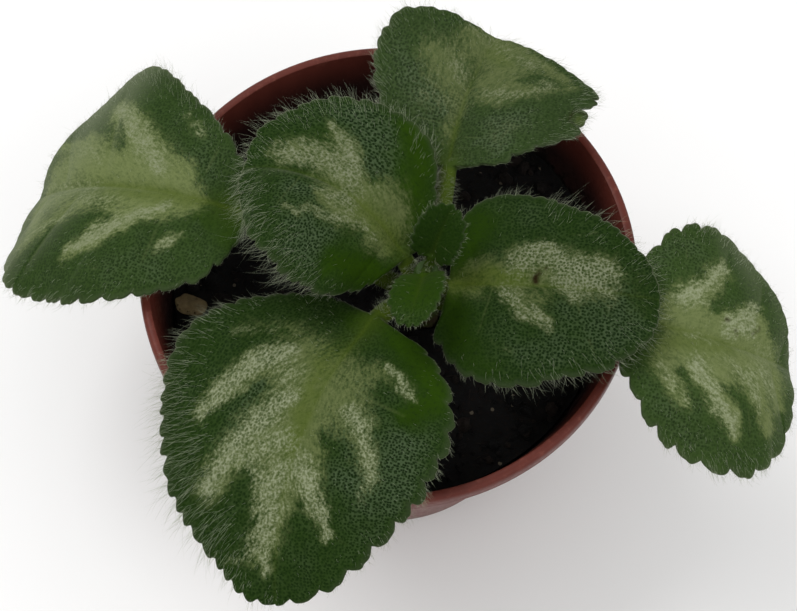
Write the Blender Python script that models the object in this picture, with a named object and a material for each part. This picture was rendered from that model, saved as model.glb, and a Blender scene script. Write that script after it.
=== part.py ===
# Primulina, a hairy-leaved house plant, in its small round growing pot

import math

import bmesh
import bpy
import numpy as np
from mathutils import Vector
from mathutils.geometry import delaunay_2d_cdt

# Lengths below are in millimetres and angles in degrees
MM = 0.001

# Pot
POT_HEIGHT = 60.0
RIM_RADIUS = 40.0
FOOT_RADIUS = 25.0
WALL = 1.0
FLOOR = 1.4
LIP_WIDTH = 1.6
LIP_DROP = 3.2
LIP_STEP = 0.6
POT_SIDES = 64
DRAIN_HOLES = 6
DRAIN_RADIUS = 3.0
DRAIN_CIRCLE = 15.0

# Soil
SOIL_TOP = 49.6
SOIL_LUMP = 0.8
SOIL_RINGS = 8
SOIL_SIDES = 44
SEAT_GAP = 0.3

# Pumice grain on the soil
GRAIN_PLACE = (-32.4, -3.3)
GRAIN_SIZE = (5.2, 3.4, 2.8)
GRAIN_TURN = -18.0
GRAIN_RISE = 0.9

# Stem
STEM_AXIS = (6.0, -4.6)
STEM_BOTTOM = 36.0
STEM_TOP = 68.4
STEM_RADIUS = 2.25
STEM_HOLE_RADIUS = 2.65
STEM_SIDES = 20

# Leaves
BLADE_HALF = 0.4
BLADE_ROWS = 22
PETIOLE_RING_PITCH = 3.5
TOOTH_PITCH = 4.6
TOOTH_DEPTH = 1.35
TOOTH_LEAN = 0.45
VEIN_SWEEP = 0.07

# Points across the stalk, from its right edge to its left: side and share of the half width
STALK_STATIONS = [(-1, 1.0), (-1, 0.85), (-1, 0.5), (1, 0.0), (1, 0.5), (1, 0.85), (1, 1.0)]

# Each leaf: where it leaves the stem, which way it heads and how its blade is formed.
# Left and right are seen along the midrib, from the stem to the tip.
LEAVES = {
    "leaf_inner_left": dict(
        height=64.5, heading=123.0, bend=56.0, petiole_turn=26.0,
        petiole_rise=50.0, rise=35.0, tip_rise=-18.0,
        petiole=2.8, length=30.7, left=18.2, right=16.4,
        left_form=0.84, right_form=1.05, left_skew=0.02, right_skew=0.14, lobe=1.2,
        left_fold=13.0, right_fold=6.0, left_arch=1.2, right_arch=0.2, roll=8.0, twist=3.0,
        left_trim=(1.3, 1.07, 0.99, 0.94, 1.0, 1.0), right_trim=(0.75, 0.72, 1.05, 0.96, 0.76, 0.72),
        left_teeth=(0.7, 0.8, 0.9, 0.9, 0.8, 0.7), right_teeth=(0.4, 0.5, 0.6, 0.7, 0.7, 0.7),
        stalk=(1.5, 1.2), waves=2.6, wave_phase=0.1, teeth=0.85, seed=3,
    ),
    "leaf_inner_right": dict(
        height=64.0, heading=-8.0, bend=2.0, petiole_turn=-12.0,
        petiole_rise=50.0, rise=24.0, tip_rise=-14.0,
        petiole=1.8, length=32.9, left=14.8, right=17.2,
        left_form=0.8, right_form=0.82, left_skew=-0.32, right_skew=-0.15, lobe=1.8,
        left_fold=11.0, right_fold=8.0, left_arch=1.2, right_arch=1.2, roll=-2.5, twist=-5.0,
        left_trim=(1.0, 1.0, 1.02, 1.0, 1.0, 1.03), right_trim=(1.3, 0.98, 0.97, 0.89, 0.92, 0.95),
        left_teeth=(0.4, 0.4, 0.5, 0.5, 0.5, 0.5), right_teeth=(0.8, 1.0, 1.0, 0.9, 0.6, 0.4),
        stalk=(1.5, 1.2), waves=2.2, wave_phase=0.35, teeth=0.85, seed=5,
    ),
    "leaf_back": dict(
        height=60.5, heading=82.0, bend=-20.4, petiole_turn=-6.0,
        petiole_rise=35.0, rise=2.0, tip_rise=-6.0,
        petiole=17.5, length=25.7, left=15.0, right=18.5,
        left_form=0.7, right_form=0.8, left_skew=0.2, right_skew=0.2, lobe=0.0,
        left_fold=14.5, right_fold=22.3, left_arch=0.8, right_arch=1.9, roll=-8.0, twist=8.0,
        left_trim=(0.93, 0.94, 0.95, 1.07, 1.22, 1.22), right_trim=(0.79, 1.03, 1.09, 1.05, 1.3, 1.2),
        left_teeth=(0.6, 0.7, 0.8, 0.6, 0.3, 0.3), right_teeth=(0.7, 0.8, 0.7, 0.4, 0.3, 0.3),
        stalk=(1.45, 1.2), waves=2.5, wave_phase=0.6, teeth=0.95, seed=8,
    ),
    "leaf_front": dict(
        height=60.5, heading=-129.5, bend=41.5, petiole_turn=-18.0,
        petiole_rise=35.0, rise=17.5, tip_rise=-31.0,
        petiole=8.9, length=48.4, left=20.8, right=22.5,
        left_form=0.86, right_form=0.98, left_skew=-0.27, right_skew=-0.31, lobe=0.1,
        left_fold=11.5, right_fold=-5.0, left_arch=0.7, right_arch=0.4, roll=4.0, twist=-2.0,
        left_trim=(1.3, 0.95, 0.97, 1.0, 0.97, 0.85), right_trim=(0.92, 0.95, 1.08, 0.97, 0.84, 1.03),
        left_teeth=(0.5, 0.8, 1.1, 1.1, 1.1, 1.1), right_teeth=(0.4, 0.7, 0.8, 0.8, 0.8, 1.0),
        stalk=(1.6, 1.3), waves=3.2, wave_phase=0.2, teeth=1.15, seed=13,
    ),
    "leaf_outer_left": dict(
        height=57.5, heading=157.5, bend=8.5, petiole_turn=4.0,
        petiole_rise=30.0, rise=2.0, tip_rise=-56.0,
        petiole=28.3, length=46.6, left=21.0, right=21.2,
        left_form=0.68, right_form=0.92, left_skew=0.16, right_skew=0.4, lobe=0.0,
        left_fold=11.0, right_fold=10.5, left_arch=1.1, right_arch=1.1, roll=-4.0, twist=10.5,
        left_trim=(0.89, 1.02, 1.0, 0.99, 1.03, 1.07), right_trim=(0.72, 0.81, 0.95, 1.08, 0.88, 0.74),
        left_teeth=(0.5, 0.8, 1.0, 1.0, 0.8, 0.6), right_teeth=(0.5, 0.6, 0.4, 0.25, 0.25, 0.4),
        stalk=(1.6, 1.3), waves=3.0, wave_phase=0.5, teeth=1.0, seed=21,
    ),
    "leaf_outer_right": dict(
        height=57.5, heading=-9.0, bend=5.0, petiole_turn=-8.0,
        petiole_rise=30.0, rise=-2.0, tip_rise=-52.5,
        petiole=30.3, length=32.3, left=18.9, right=19.2,
        left_form=0.88, right_form=0.76, left_skew=-0.07, right_skew=0.12, lobe=0.4,
        left_fold=7.7, right_fold=8.3, left_arch=1.2, right_arch=1.7, roll=-2.5, twist=-2.5,
        left_trim=(0.87, 0.92, 1.02, 1.07, 1.08, 1.11), right_trim=(0.98, 0.99, 1.05, 1.03, 1.06, 0.7),
        left_teeth=(0.6, 0.9, 1.0, 0.5, 0.3, 0.3), right_teeth=(0.6, 0.9, 1.1, 1.1, 0.8, 0.4),
        stalk=(1.6, 1.3), waves=2.4, wave_phase=0.8, teeth=1.0, seed=34,
    ),
    "leaf_young_back": dict(
        height=69.0, heading=60.0, bend=0.0, petiole_turn=5.0,
        petiole_rise=78.0, rise=60.0, tip_rise=38.0,
        petiole=1.4, length=9.0, left=3.9, right=3.9,
        left_form=0.8, right_form=0.8, left_skew=0.0, right_skew=0.0, lobe=0.6,
        left_fold=26.0, right_fold=24.0, left_arch=1.4, right_arch=1.4, roll=5.0, twist=3.0,
        left_trim=(1.0, 1.0), right_trim=(1.0, 1.0),
        left_teeth=(1.0, 1.0), right_teeth=(1.0, 1.0),
        stalk=(0.8, 0.65), waves=1.5, wave_phase=0.0, teeth=0.42, rows=12, reach=1.25, half=0.3, seed=55,
    ),
    "leaf_young_front": dict(
        height=69.0, heading=-104.0, bend=0.0, petiole_turn=2.0,
        petiole_rise=75.0, rise=45.0, tip_rise=-4.0,
        petiole=2.0, length=10.6, left=3.9, right=3.9,
        left_form=0.7, right_form=0.8, left_skew=0.0, right_skew=0.0, lobe=1.0,
        left_fold=20.0, right_fold=8.0, left_arch=1.6, right_arch=2.0, roll=12.0, twist=-3.0,
        left_trim=(1.0, 1.0), right_trim=(1.0, 1.0),
        left_teeth=(1.0, 1.0), right_teeth=(1.0, 1.0),
        stalk=(0.8, 0.65), waves=1.5, wave_phase=0.5, teeth=0.42, rows=12, reach=1.25, half=0.3, seed=89,
    ),
}


def clear_scene():
    for item in list(bpy.data.objects):
        bpy.data.objects.remove(item, do_unlink=True)


def material(name, colour, roughness, metallic=0.0):
    made = bpy.data.materials.new(name)
    made.use_nodes = True
    shader = made.node_tree.nodes["Principled BSDF"]
    shader.inputs["Base Color"].default_value = (*colour, 1.0)
    shader.inputs["Roughness"].default_value = roughness
    shader.inputs["Metallic"].default_value = metallic
    return made


def object_from(name, bm, finish, sharp=40.0):
    mesh = bpy.data.meshes.new(name)
    bm.to_mesh(mesh)
    bm.free()
    item = bpy.data.objects.new(name, mesh)
    bpy.context.scene.collection.objects.link(item)
    mesh.materials.append(finish)
    mesh.shade_smooth()
    mesh.set_sharp_from_angle(angle=math.radians(sharp))
    return item


def cut(item, cutter):
    cutter.hide_render = True
    cutter.display_type = "WIRE"
    change = item.modifiers.new("cut_" + cutter.name, "BOOLEAN")
    change.operation = "DIFFERENCE"
    change.solver = "EXACT"
    change.object = cutter


def smoothstep(x):
    x = np.clip(x, 0.0, 1.0)
    return x * x * (3.0 - 2.0 * x)


def eased(u, values):
    """A value that runs smoothly through even stations from base to tip."""
    place = np.clip(u, 0.0, 1.0) * (len(values) - 1)
    i = np.minimum(place.astype(int), len(values) - 2)
    values = np.asarray(values)
    return values[i] + (values[i + 1] - values[i]) * smoothstep(place - i)


# Pot: a turned section, with the holes in its floor cut afterwards


def wall_radius(z):
    top = RIM_RADIUS - LIP_STEP
    return FOOT_RADIUS + (top - FOOT_RADIUS) * z / POT_HEIGHT


def pot_section():
    under_lip = POT_HEIGHT - LIP_DROP
    inside_top = RIM_RADIUS - LIP_WIDTH
    outer = [
        (inside_top + 0.25, POT_HEIGHT),
        (RIM_RADIUS - 0.7, POT_HEIGHT),
        (RIM_RADIUS, POT_HEIGHT - 0.8),
        (RIM_RADIUS, under_lip),
        (wall_radius(under_lip), under_lip - 0.4),
        (wall_radius(0.9), 0.9),
        (FOOT_RADIUS - 0.8, 0.0),
        (0.0, 0.0),
    ]
    inner = [
        (0.0, FLOOR),
        (wall_radius(FLOOR) - WALL - 0.2, FLOOR),
        (wall_radius(under_lip) - WALL, under_lip),
        (inside_top, POT_HEIGHT - 0.4),
    ]
    return outer + inner


def turned(section, sides):
    bm = bmesh.new()
    ring = [bm.verts.new((r * MM, 0.0, z * MM)) for r, z in section]
    edges = [bm.edges.new((a, b)) for a, b in zip(ring, ring[1:] + ring[:1])]
    axis = {"cent": (0.0, 0.0, 0.0), "axis": (0.0, 0.0, 1.0)}
    bmesh.ops.spin(bm, geom=ring + edges, angle=math.tau, steps=sides, use_merge=True, **axis)
    bmesh.ops.remove_doubles(bm, verts=bm.verts[:], dist=0.00001)
    bmesh.ops.dissolve_degenerate(bm, edges=bm.edges[:], dist=0.00001)
    bmesh.ops.recalc_face_normals(bm, faces=bm.faces[:])
    return bm


def drain_cutter():
    bm = bmesh.new()
    for i in range(DRAIN_HOLES):
        turn = math.tau * (i + 0.5) / DRAIN_HOLES
        made = bmesh.ops.create_cone(
            bm, cap_ends=True, segments=16,
            radius1=DRAIN_RADIUS * MM, radius2=DRAIN_RADIUS * MM, depth=3 * FLOOR * MM,
        )
        place = (DRAIN_CIRCLE * math.cos(turn) * MM, DRAIN_CIRCLE * math.sin(turn) * MM, 0.0)
        bmesh.ops.translate(bm, verts=made["verts"], vec=place)
    return bm


# Soil: a plug of the pot's inner form with a lumpy top


def soil_height(x, y):
    lumps = (
        np.sin(0.31 * x + 0.9) * np.cos(0.27 * y - 0.4)
        + 0.7 * np.sin(0.63 * x - 0.21 * y + 2.1)
        + 0.5 * np.sin(0.83 * y + 0.33 * x + 0.7)
        + 0.35 * np.sin(1.37 * x + 1.1 * y + 1.9)
    )
    return SOIL_TOP + SOIL_LUMP * 0.5 * lumps


def soil_mesh():
    bm = bmesh.new()
    room = WALL + SEAT_GAP + 0.1
    edge = wall_radius(SOIL_TOP - 1.4) - room
    foot_z = FLOOR + SEAT_GAP
    foot = wall_radius(foot_z) - room - 0.2
    middle = bm.verts.new((0.0, 0.0, float(soil_height(0.0, 0.0)) * MM))
    rings = []
    for i in range(1, SOIL_RINGS + 1):
        ring = []
        for j in range(SOIL_SIDES):
            a = math.tau * j / SOIL_SIDES
            r = edge * i / SOIL_RINGS
            x, y = r * math.cos(a), r * math.sin(a)
            z = float(soil_height(x, y))
            if i == SOIL_RINGS:
                z -= 0.5
                x *= (wall_radius(z) - room) / edge
                y *= (wall_radius(z) - room) / edge
            ring.append(bm.verts.new((x * MM, y * MM, z * MM)))
        rings.append(ring)
    low = []
    for j in range(SOIL_SIDES):
        a = math.tau * j / SOIL_SIDES
        low.append(bm.verts.new((foot * math.cos(a) * MM, foot * math.sin(a) * MM, foot_z * MM)))
    rings.append(low)
    for j in range(SOIL_SIDES):
        k = (j + 1) % SOIL_SIDES
        bm.faces.new((middle, rings[0][j], rings[0][k]))
        for a, b in zip(rings, rings[1:]):
            bm.faces.new((a[j], b[j], b[k]))
            bm.faces.new((a[j], b[k], a[k]))
    bm.faces.new(list(reversed(low)))
    bmesh.ops.recalc_face_normals(bm, faces=bm.faces[:])
    return bm


def stem_hole():
    bm = bmesh.new()
    depth = SOIL_TOP + 6.0 - (STEM_BOTTOM - SEAT_GAP)
    bmesh.ops.create_cone(
        bm, cap_ends=True, segments=STEM_SIDES,
        radius1=STEM_HOLE_RADIUS * MM, radius2=STEM_HOLE_RADIUS * MM, depth=depth * MM,
    )
    middle = STEM_BOTTOM - SEAT_GAP + depth / 2
    place = (STEM_AXIS[0] * MM, STEM_AXIS[1] * MM, middle * MM)
    bmesh.ops.translate(bm, verts=bm.verts[:], vec=place)
    return bm


def grain(grow):
    bm = bmesh.new()
    bmesh.ops.create_icosphere(bm, subdivisions=2, radius=1.0)
    turn = math.radians(GRAIN_TURN)
    x0, y0 = GRAIN_PLACE
    z0 = float(soil_height(x0, y0)) + GRAIN_RISE
    for v in bm.verts:
        p = v.co.copy()
        knob = 1.0 + 0.09 * math.sin(5.0 * p.x + 1.0) * math.cos(4.0 * p.y) + 0.06 * math.sin(6.0 * p.z)
        half = [size / 2 + grow for size in GRAIN_SIZE]
        a, b, c = (p.x * knob * half[0], p.y * knob * half[1], p.z * knob * half[2])
        x = x0 + a * math.cos(turn) - b * math.sin(turn)
        y = y0 + a * math.sin(turn) + b * math.cos(turn)
        v.co = (x * MM, y * MM, (z0 + c) * MM)
    return bm


# Stem: a short trunk, ringed with old leaf scars, that stands in the soil's hole


def stem_mesh():
    bm = bmesh.new()
    levels = 12
    rings = []
    for i in range(levels + 1):
        z = STEM_BOTTOM + (STEM_TOP - STEM_BOTTOM) * i / levels
        scar = 0.07 * math.cos(math.tau * (z - STEM_BOTTOM) / 4.0)
        end = 1.0
        if i == 0:
            end = 0.6
        if i == levels:
            end = 0.75
        r = (STEM_RADIUS - 0.07 + scar) * end
        ring = []
        for j in range(STEM_SIDES):
            a = math.tau * j / STEM_SIDES
            x = STEM_AXIS[0] + r * math.cos(a)
            y = STEM_AXIS[1] + r * math.sin(a)
            ring.append(bm.verts.new((x * MM, y * MM, z * MM)))
        rings.append(ring)
    for a, b in zip(rings, rings[1:]):
        for j in range(STEM_SIDES):
            k = (j + 1) % STEM_SIDES
            bm.faces.new((a[j], a[k], b[k], b[j]))
    bm.faces.new(list(reversed(rings[0])))
    bm.faces.new(rings[-1])
    bmesh.ops.recalc_face_normals(bm, faces=bm.faces[:])
    return bm


# Leaf: a midrib line with its frames, a flat outline, and the bend that joins the two


class LeafForm:
    """One leaf's form: the surface it lies on and the outline of its blade."""

    def __init__(self, leaf):
        self.leaf = leaf
        self.length = leaf["length"]
        self.petiole = leaf["petiole"]
        self.half_width, self.half_depth = leaf["stalk"]
        reach = leaf.get("reach", STEM_RADIUS + 0.35)
        start = math.radians(leaf["heading"] + leaf["petiole_turn"])
        root = [
            STEM_AXIS[0] + reach * math.cos(start),
            STEM_AXIS[1] + reach * math.sin(start),
            leaf["height"],
        ]
        self.stalk_s = np.linspace(-self.petiole, 0.0, 80)
        self.stalk_line = self.line(self.stalk_s, np.array(root), 0)
        self.blade_s = np.linspace(-8.0, self.length + 4.0, 300)
        self.blade_line = self.line(self.blade_s, self.stalk_line[0][-1], 80)

    def line(self, s, anchor, samples):
        """Points and frames along the midrib; the blade's own line runs on straight behind its base."""
        leaf = self.leaf
        along = np.clip(s / self.length, 0.0, 1.0)
        back = np.clip(-s / self.petiole, 0.0, 1.0) if not samples else 0.0 * s
        rise = leaf["rise"] + (leaf["petiole_rise"] - leaf["rise"]) * back
        rise = rise + (leaf["tip_rise"] - leaf["rise"]) * along
        heading = leaf["heading"] + leaf["bend"] * along + leaf["petiole_turn"] * back**1.5
        roll = np.radians(leaf["roll"] + leaf["twist"] * along) * smoothstep(1.0 - back)
        pitch = np.radians(rise)
        way = np.radians(heading)
        ahead = np.stack(
            [np.cos(pitch) * np.cos(way), np.cos(pitch) * np.sin(way), np.sin(pitch)], -1
        )
        moved = np.cumsum((ahead[1:] + ahead[:-1]) / 2 * (s[1] - s[0]), 0)
        points = np.concatenate([np.zeros((1, 3)), moved])
        if samples:
            points = points - self.read(points, s, np.array([0.0]))[0]
        points = points + anchor
        level = np.stack([-np.sin(way), np.cos(way), 0 * way], -1)
        over = np.cross(ahead, level)
        # The stalk's end stands upright against the stem
        if leaf["petiole_rise"] < 60.0:
            upright = smoothstep((-s - self.petiole + 2.2) / 2.2)[:, None] if not samples else 0.0
            over = over * (1 - upright) + np.array([0.0, 0.0, 1.0]) * upright
            over = over / np.linalg.norm(over, axis=1)[:, None]
        turn = roll[:, None]
        return points, level * np.cos(turn) + over * np.sin(turn), over * np.cos(turn) - level * np.sin(turn)

    def read(self, values, at, s):
        return np.stack([np.interp(s, at, values[:, i]) for i in range(3)], -1)

    def stalk_point(self, s, t, h):
        """A point of the stalk: along it, to its left, and above its middle."""
        points, across, over = (self.read(v, self.stalk_s, s) for v in self.stalk_line)
        return points + across * t[..., None] + over * h[..., None]

    def bent(self, s, t):
        """The point of the blade's middle surface for a point of its flat plan."""
        left = t >= 0.0
        fold = np.radians(np.where(left, self.leaf["left_fold"], self.leaf["right_fold"]))
        arch = np.where(left, self.leaf["left_arch"], self.leaf["right_arch"])
        curl = np.maximum(np.radians(arch), 1e-5)
        d = np.abs(t)
        out = (np.sin(fold) - np.sin(fold - curl * d)) / curl
        up = (np.cos(fold - curl * d) - np.cos(fold)) / curl
        sign = np.where(left, 1.0, -1.0)
        points, across, over = (self.read(v, self.blade_s, s) for v in self.blade_line)
        return points + across * (sign * out)[..., None] + over * up[..., None]

    def normal(self, s, t):
        e = 0.15
        ds = self.bent(s + e, t) - self.bent(s - e, t)
        dt = self.bent(s, t + e) - self.bent(s, t - e)
        n = np.cross(ds, dt)
        return n / np.linalg.norm(n, axis=-1)[..., None]

    def half(self, side, u):
        """The blade's smooth edge on one side: distance along and out from the midrib."""
        form = self.leaf["left_form" if side > 0 else "right_form"]
        skew = self.leaf["left_skew" if side > 0 else "right_skew"]
        wide = self.leaf["left" if side > 0 else "right"]
        x = (1.0 - np.cos(math.pi * u)) / 2.0
        arc = np.maximum(np.sin(math.pi * u), 0.0)
        out = wide * arc**form * (1.0 - skew * np.cos(math.pi * u))
        out = out * eased(u, self.leaf["left_trim" if side > 0 else "right_trim"])
        stalk = self.half_width * np.clip(1.0 - u / 0.15, 0.0, 1.0)
        out = np.sqrt(out**2 + stalk**2)
        lobe = self.leaf["lobe"] * 1.3 * np.sin(math.pi * np.clip(1.6 * u, 0.0, 1.0)) * (1.0 - u)
        return self.length * x - lobe, out

    def flat(self, side, u, v):
        """A point of the flat plan from its row and its share of the half width."""
        x = (1.0 - np.cos(math.pi * u)) / 2.0
        along, out = self.half(side, u)
        rib = self.length * (0.85 * u + 0.15 * x - VEIN_SWEEP * np.sin(math.pi * u))
        return rib + (along - rib) * np.abs(v) ** 1.3, side * out * v

    def wave(self, side, u, v):
        count = self.leaf["waves"]
        phase = self.leaf["wave_phase"] + (0.4 if side > 0 else 0.0)
        size = 0.03 * self.leaf["left"]
        grow = smoothstep(u / 0.2) * smoothstep((1.0 - u) / 0.1)
        return size * np.sin(math.tau * (count * u + phase)) * np.minimum(v, 1.0) ** 2 * grow

    def thick(self, u, f, t):
        """Half thickness above and below the middle surface."""
        stalk = self.half_depth * np.sqrt(np.clip(1.0 - f**2, 0.09, 1.0))
        rib = (self.half_depth * (1.0 - u) + 0.1) * np.exp(-((t / 1.2) ** 2))
        blend = smoothstep(u / 0.14)
        half = self.leaf.get("half", BLADE_HALF)
        upper = stalk * (1.0 - blend) + half * blend
        lower = stalk * (1.0 - blend) + (half + rib) * blend
        return upper, lower

    def edge(self, side):
        """The toothed edge from base to tip: rows and flat positions."""
        u = np.linspace(0.0, 1.0, 500)
        along, out = self.half(side, u)
        step = np.hypot(np.diff(along), np.diff(out))
        run = np.concatenate([[0.0], np.cumsum(step)])
        total = run[-1]
        rng = np.random.default_rng(self.leaf["seed"] + (100 if side > 0 else 0))
        scale = self.leaf.get("teeth", 1.0)
        bite = self.leaf["left_teeth" if side > 0 else "right_teeth"]
        count = max(4, round(total / (TOOTH_PITCH * scale)))
        teeth = np.cumsum(np.concatenate([[0.0], rng.uniform(0.8, 1.2, count + 1)]))
        last = teeth[-2] + 0.5 * (teeth[-1] - teeth[-2])
        places = []
        for i in range(count + 1):
            steps = (0.0, 0.3, 0.6, 0.86) if i < count else (0.0, 0.22, 0.4)
            gap = teeth[i + 1] - teeth[i]
            for f in steps:
                places.append(((teeth[i] + f * gap) / last * total, f, gap))
        rows = []
        for where, f, size in places[1:]:
            share = where / total
            grow = float(smoothstep(share / 0.14)) * size * scale
            depth = TOOTH_DEPTH * grow * max(math.sin(math.pi * f), 0.0) ** 0.8
            depth *= float(eased(share, bite))
            row = float(np.interp(where, run, u))
            a, o = float(np.interp(where, run, along)), float(np.interp(where, run, out))
            ahead = min(where + 0.4, total)
            behind = max(where - 0.4, 0.0)
            da = float(np.interp(ahead, run, along) - np.interp(behind, run, along))
            do = float(np.interp(ahead, run, out) - np.interp(behind, run, out))
            norm = math.hypot(da, do)
            da, do = da / norm, do / norm
            lean = TOOTH_LEAN * float(smoothstep((1.0 - share) / 0.06))
            a += (da * lean - do) * depth
            o += (da + do * lean) * depth
            rows.append((row, a, side * o))
        return rows


def far_from(line, point, gap):
    """True where a flat point keeps a distance from every stretch of a line."""
    for a, b in zip(line, line[1:]):
        along, out = b[0] - a[0], b[1] - a[1]
        size = along * along + out * out
        share = ((point[0] - a[0]) * along + (point[1] - a[1]) * out) / size
        share = min(max(share, 0.0), 1.0)
        if math.hypot(a[0] + share * along - point[0], a[1] + share * out - point[1]) < gap:
            return False
    return True


def blade_plan(form):
    """The blade's flat plan: points with their row and share of the width, and triangles."""
    leaf = form.leaf
    scale = leaf.get("teeth", 1.0)
    base = [(0.0, side * f * form.half_width, 0.0, f) for side, f in STALK_STATIONS]
    left = [(s, t, u, 1.0) for u, s, t in form.edge(1)]
    right = [(s, t, u, 1.0) for u, s, t in form.edge(-1)]
    point = TOOTH_DEPTH * scale * min(leaf["left_teeth"][-1], leaf["right_teeth"][-1])
    tip = (form.length + point, 0.0, 1.0, 1.0)
    loop = base + left + [tip] + list(reversed(right))
    points = list(loop)
    edges = [(i, (i + 1) % len(loop)) for i in range(len(loop))]
    count = leaf.get("rows", BLADE_ROWS)
    rib = [STALK_STATIONS.index((1, 0.0))]
    for i in range(1, count):
        s = float(form.flat(1, i / count, 0.0)[0])
        rib.append(len(points))
        points.append((s, 0.0, i / count, 0.0))
    rib.append(len(base) + len(left))
    edges += list(zip(rib, rib[1:]))
    outline = [p[:2] for p in loop] + [loop[0][:2]]
    for i in range(1, count):
        u = i / count
        for side in (1, -1):
            width = float(form.half(side, u)[1])
            ribbed = min(0.25, 1.3 / width)
            for share in (0.0, 0.3, 0.62):
                v = ribbed + (1.0 - ribbed) * share
                s, t = form.flat(side, u, v)
                if far_from(outline, (float(s), float(t)), 0.8 * scale):
                    points.append((float(s), float(t), u, v))
    corners = [Vector(p[:2]) for p in points]
    made = delaunay_2d_cdt(corners, edges, [list(range(len(loop)))], 1, 0.00001)
    if len(made[0]) != len(points):
        raise ValueError("the plan's lines cross")
    order = [found[0] for found in made[3]]
    faces = [[order[i] for i in face] for face in made[2]]
    return points, faces, len(loop)


def leaf_mesh(leaf):
    form = LeafForm(leaf)
    bm = bmesh.new()
    points, faces, outline = blade_plan(form)
    flat = np.array(points)
    s, t, u, v = flat.T
    middle, n = form.bent(s, t), form.normal(s, t)
    lift = np.where(t >= 0.0, form.wave(1, u, v), form.wave(-1, u, v))[:, None]
    up, down = form.thick(u, v, np.abs(t))
    upper = [bm.verts.new(p * MM) for p in middle + n * (lift + up[:, None])]
    lower = [bm.verts.new(p * MM) for p in middle + n * (lift - down[:, None])]
    for a, b, c in faces:
        bm.faces.new((upper[a], upper[b], upper[c]))
        bm.faces.new((lower[a], lower[c], lower[b]))
    stations = len(STALK_STATIONS)
    for i in range(stations - 1, outline):
        j = (i + 1) % outline
        bm.faces.new((upper[i], lower[i], lower[j]))
        bm.faces.new((upper[i], lower[j], upper[j]))
    ring = upper[:stations] + list(reversed(lower[:stations]))
    count = max(2, round(form.petiole / PETIOLE_RING_PITCH))
    for i in range(1, count + 1):
        at = np.full(stations, -form.petiole * i / count)
        f = np.array([share for side, share in STALK_STATIONS])
        out = np.array([side * share * form.half_width for side, share in STALK_STATIONS])
        up, down = form.thick(0.0, f, 0.0)
        top = form.stalk_point(at, out, up)
        low = form.stalk_point(at, out, -down)
        following = [bm.verts.new(p * MM) for p in list(top) + list(reversed(low))]
        for a in range(len(ring)):
            b = (a + 1) % len(ring)
            bm.faces.new((ring[a], ring[b], following[b], following[a]))
        ring = following
    bm.faces.new(ring)
    bmesh.ops.triangulate(bm, faces=[f for f in bm.faces if len(f.verts) > 3])
    bmesh.ops.recalc_face_normals(bm, faces=bm.faces[:])
    return bm


def main():
    clear_scene()
    clay = material("pot_plastic", (0.22, 0.055, 0.035), 0.42)
    earth = material("soil", (0.012, 0.008, 0.006), 0.95)
    stone = material("pumice", (0.42, 0.33, 0.2), 0.9)
    stalk = material("stem", (0.12, 0.13, 0.03), 0.7)
    green = material("leaf", (0.035, 0.09, 0.018), 0.7)
    pot = object_from("pot", turned(pot_section(), POT_SIDES), clay)
    cut(pot, object_from("drain_cutter", drain_cutter(), clay))
    soil = object_from("soil", soil_mesh(), earth, 60.0)
    cut(soil, object_from("stem_cutter", stem_hole(), earth))
    cut(soil, object_from("grain_cutter", grain(SEAT_GAP), earth))
    object_from("pumice_grain", grain(0.0), stone)
    object_from("stem", stem_mesh(), stalk)
    for name, leaf in LEAVES.items():
        object_from(name, leaf_mesh(leaf), green, 60.0)


main()
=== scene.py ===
# Dressed primulina: pot, soil, stem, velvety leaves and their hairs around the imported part
import math

import bmesh
import bpy
import numpy as np
from bpy.props import FloatProperty, FloatVectorProperty, IntProperty, PointerProperty
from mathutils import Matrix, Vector, noise


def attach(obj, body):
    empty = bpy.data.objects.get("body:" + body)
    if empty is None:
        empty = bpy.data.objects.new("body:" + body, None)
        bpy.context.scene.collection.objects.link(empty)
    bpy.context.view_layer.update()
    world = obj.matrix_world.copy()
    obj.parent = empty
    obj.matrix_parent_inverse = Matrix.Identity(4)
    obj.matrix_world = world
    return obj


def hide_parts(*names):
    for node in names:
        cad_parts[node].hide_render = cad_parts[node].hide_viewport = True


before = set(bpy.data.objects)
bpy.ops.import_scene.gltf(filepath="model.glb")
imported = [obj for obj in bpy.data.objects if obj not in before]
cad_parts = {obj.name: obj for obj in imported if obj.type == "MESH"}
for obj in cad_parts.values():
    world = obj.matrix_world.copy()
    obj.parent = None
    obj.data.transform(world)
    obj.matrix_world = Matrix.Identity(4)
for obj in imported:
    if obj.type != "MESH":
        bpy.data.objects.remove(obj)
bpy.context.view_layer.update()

bl_info = {
    "name": "Potted primulina",
    "version": (1, 0, 0),
    "blender": (4, 5, 0),
    "location": "View3D > Sidebar > Primulina",
    "description": "Pot, soil, stem and hairy silver-marked leaves of a young primulina",
    "category": "Add Mesh",
}

MM = 0.001

# Pot and soil, in millimetres and degrees. The lip stands out from the wall by its step and hangs down by
# its drop; the seat gap keeps soil, pot and stem apart; the grain keeps its surroundings clear of crumbs.
POT_HEIGHT = 60.0
RIM_RADIUS = 40.0
FOOT_RADIUS = 25.0
WALL = 1.0
FLOOR = 1.4
LIP_WIDTH = 1.6
LIP_DROP = 3.2
LIP_STEP = 0.6
DRAIN_HOLES = 6
DRAIN_RADIUS = 3.0
DRAIN_CIRCLE = 15.0
POT_EDGE_ANGLE = 50.0
SOIL_TOP = 49.6
SOIL_LUMP = 0.8
SEAT_GAP = 0.3
GRAIN_PLACE = (-32.4, -3.3)
GRAIN_SIZE = (5.2, 3.4, 2.8)
GRAIN_TURN = -18.0
GRAIN_RISE = 0.9
GRAIN_CLEAR = 3.4
CRUMB_SIZE = (0.25, 0.7)
LUMP_SIZE = (0.7, 1.5)
FIBRE_LENGTH = (1.5, 4.0)
FIBRE_RADIUS = 0.11
CRUMB_SEED = 71

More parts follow.
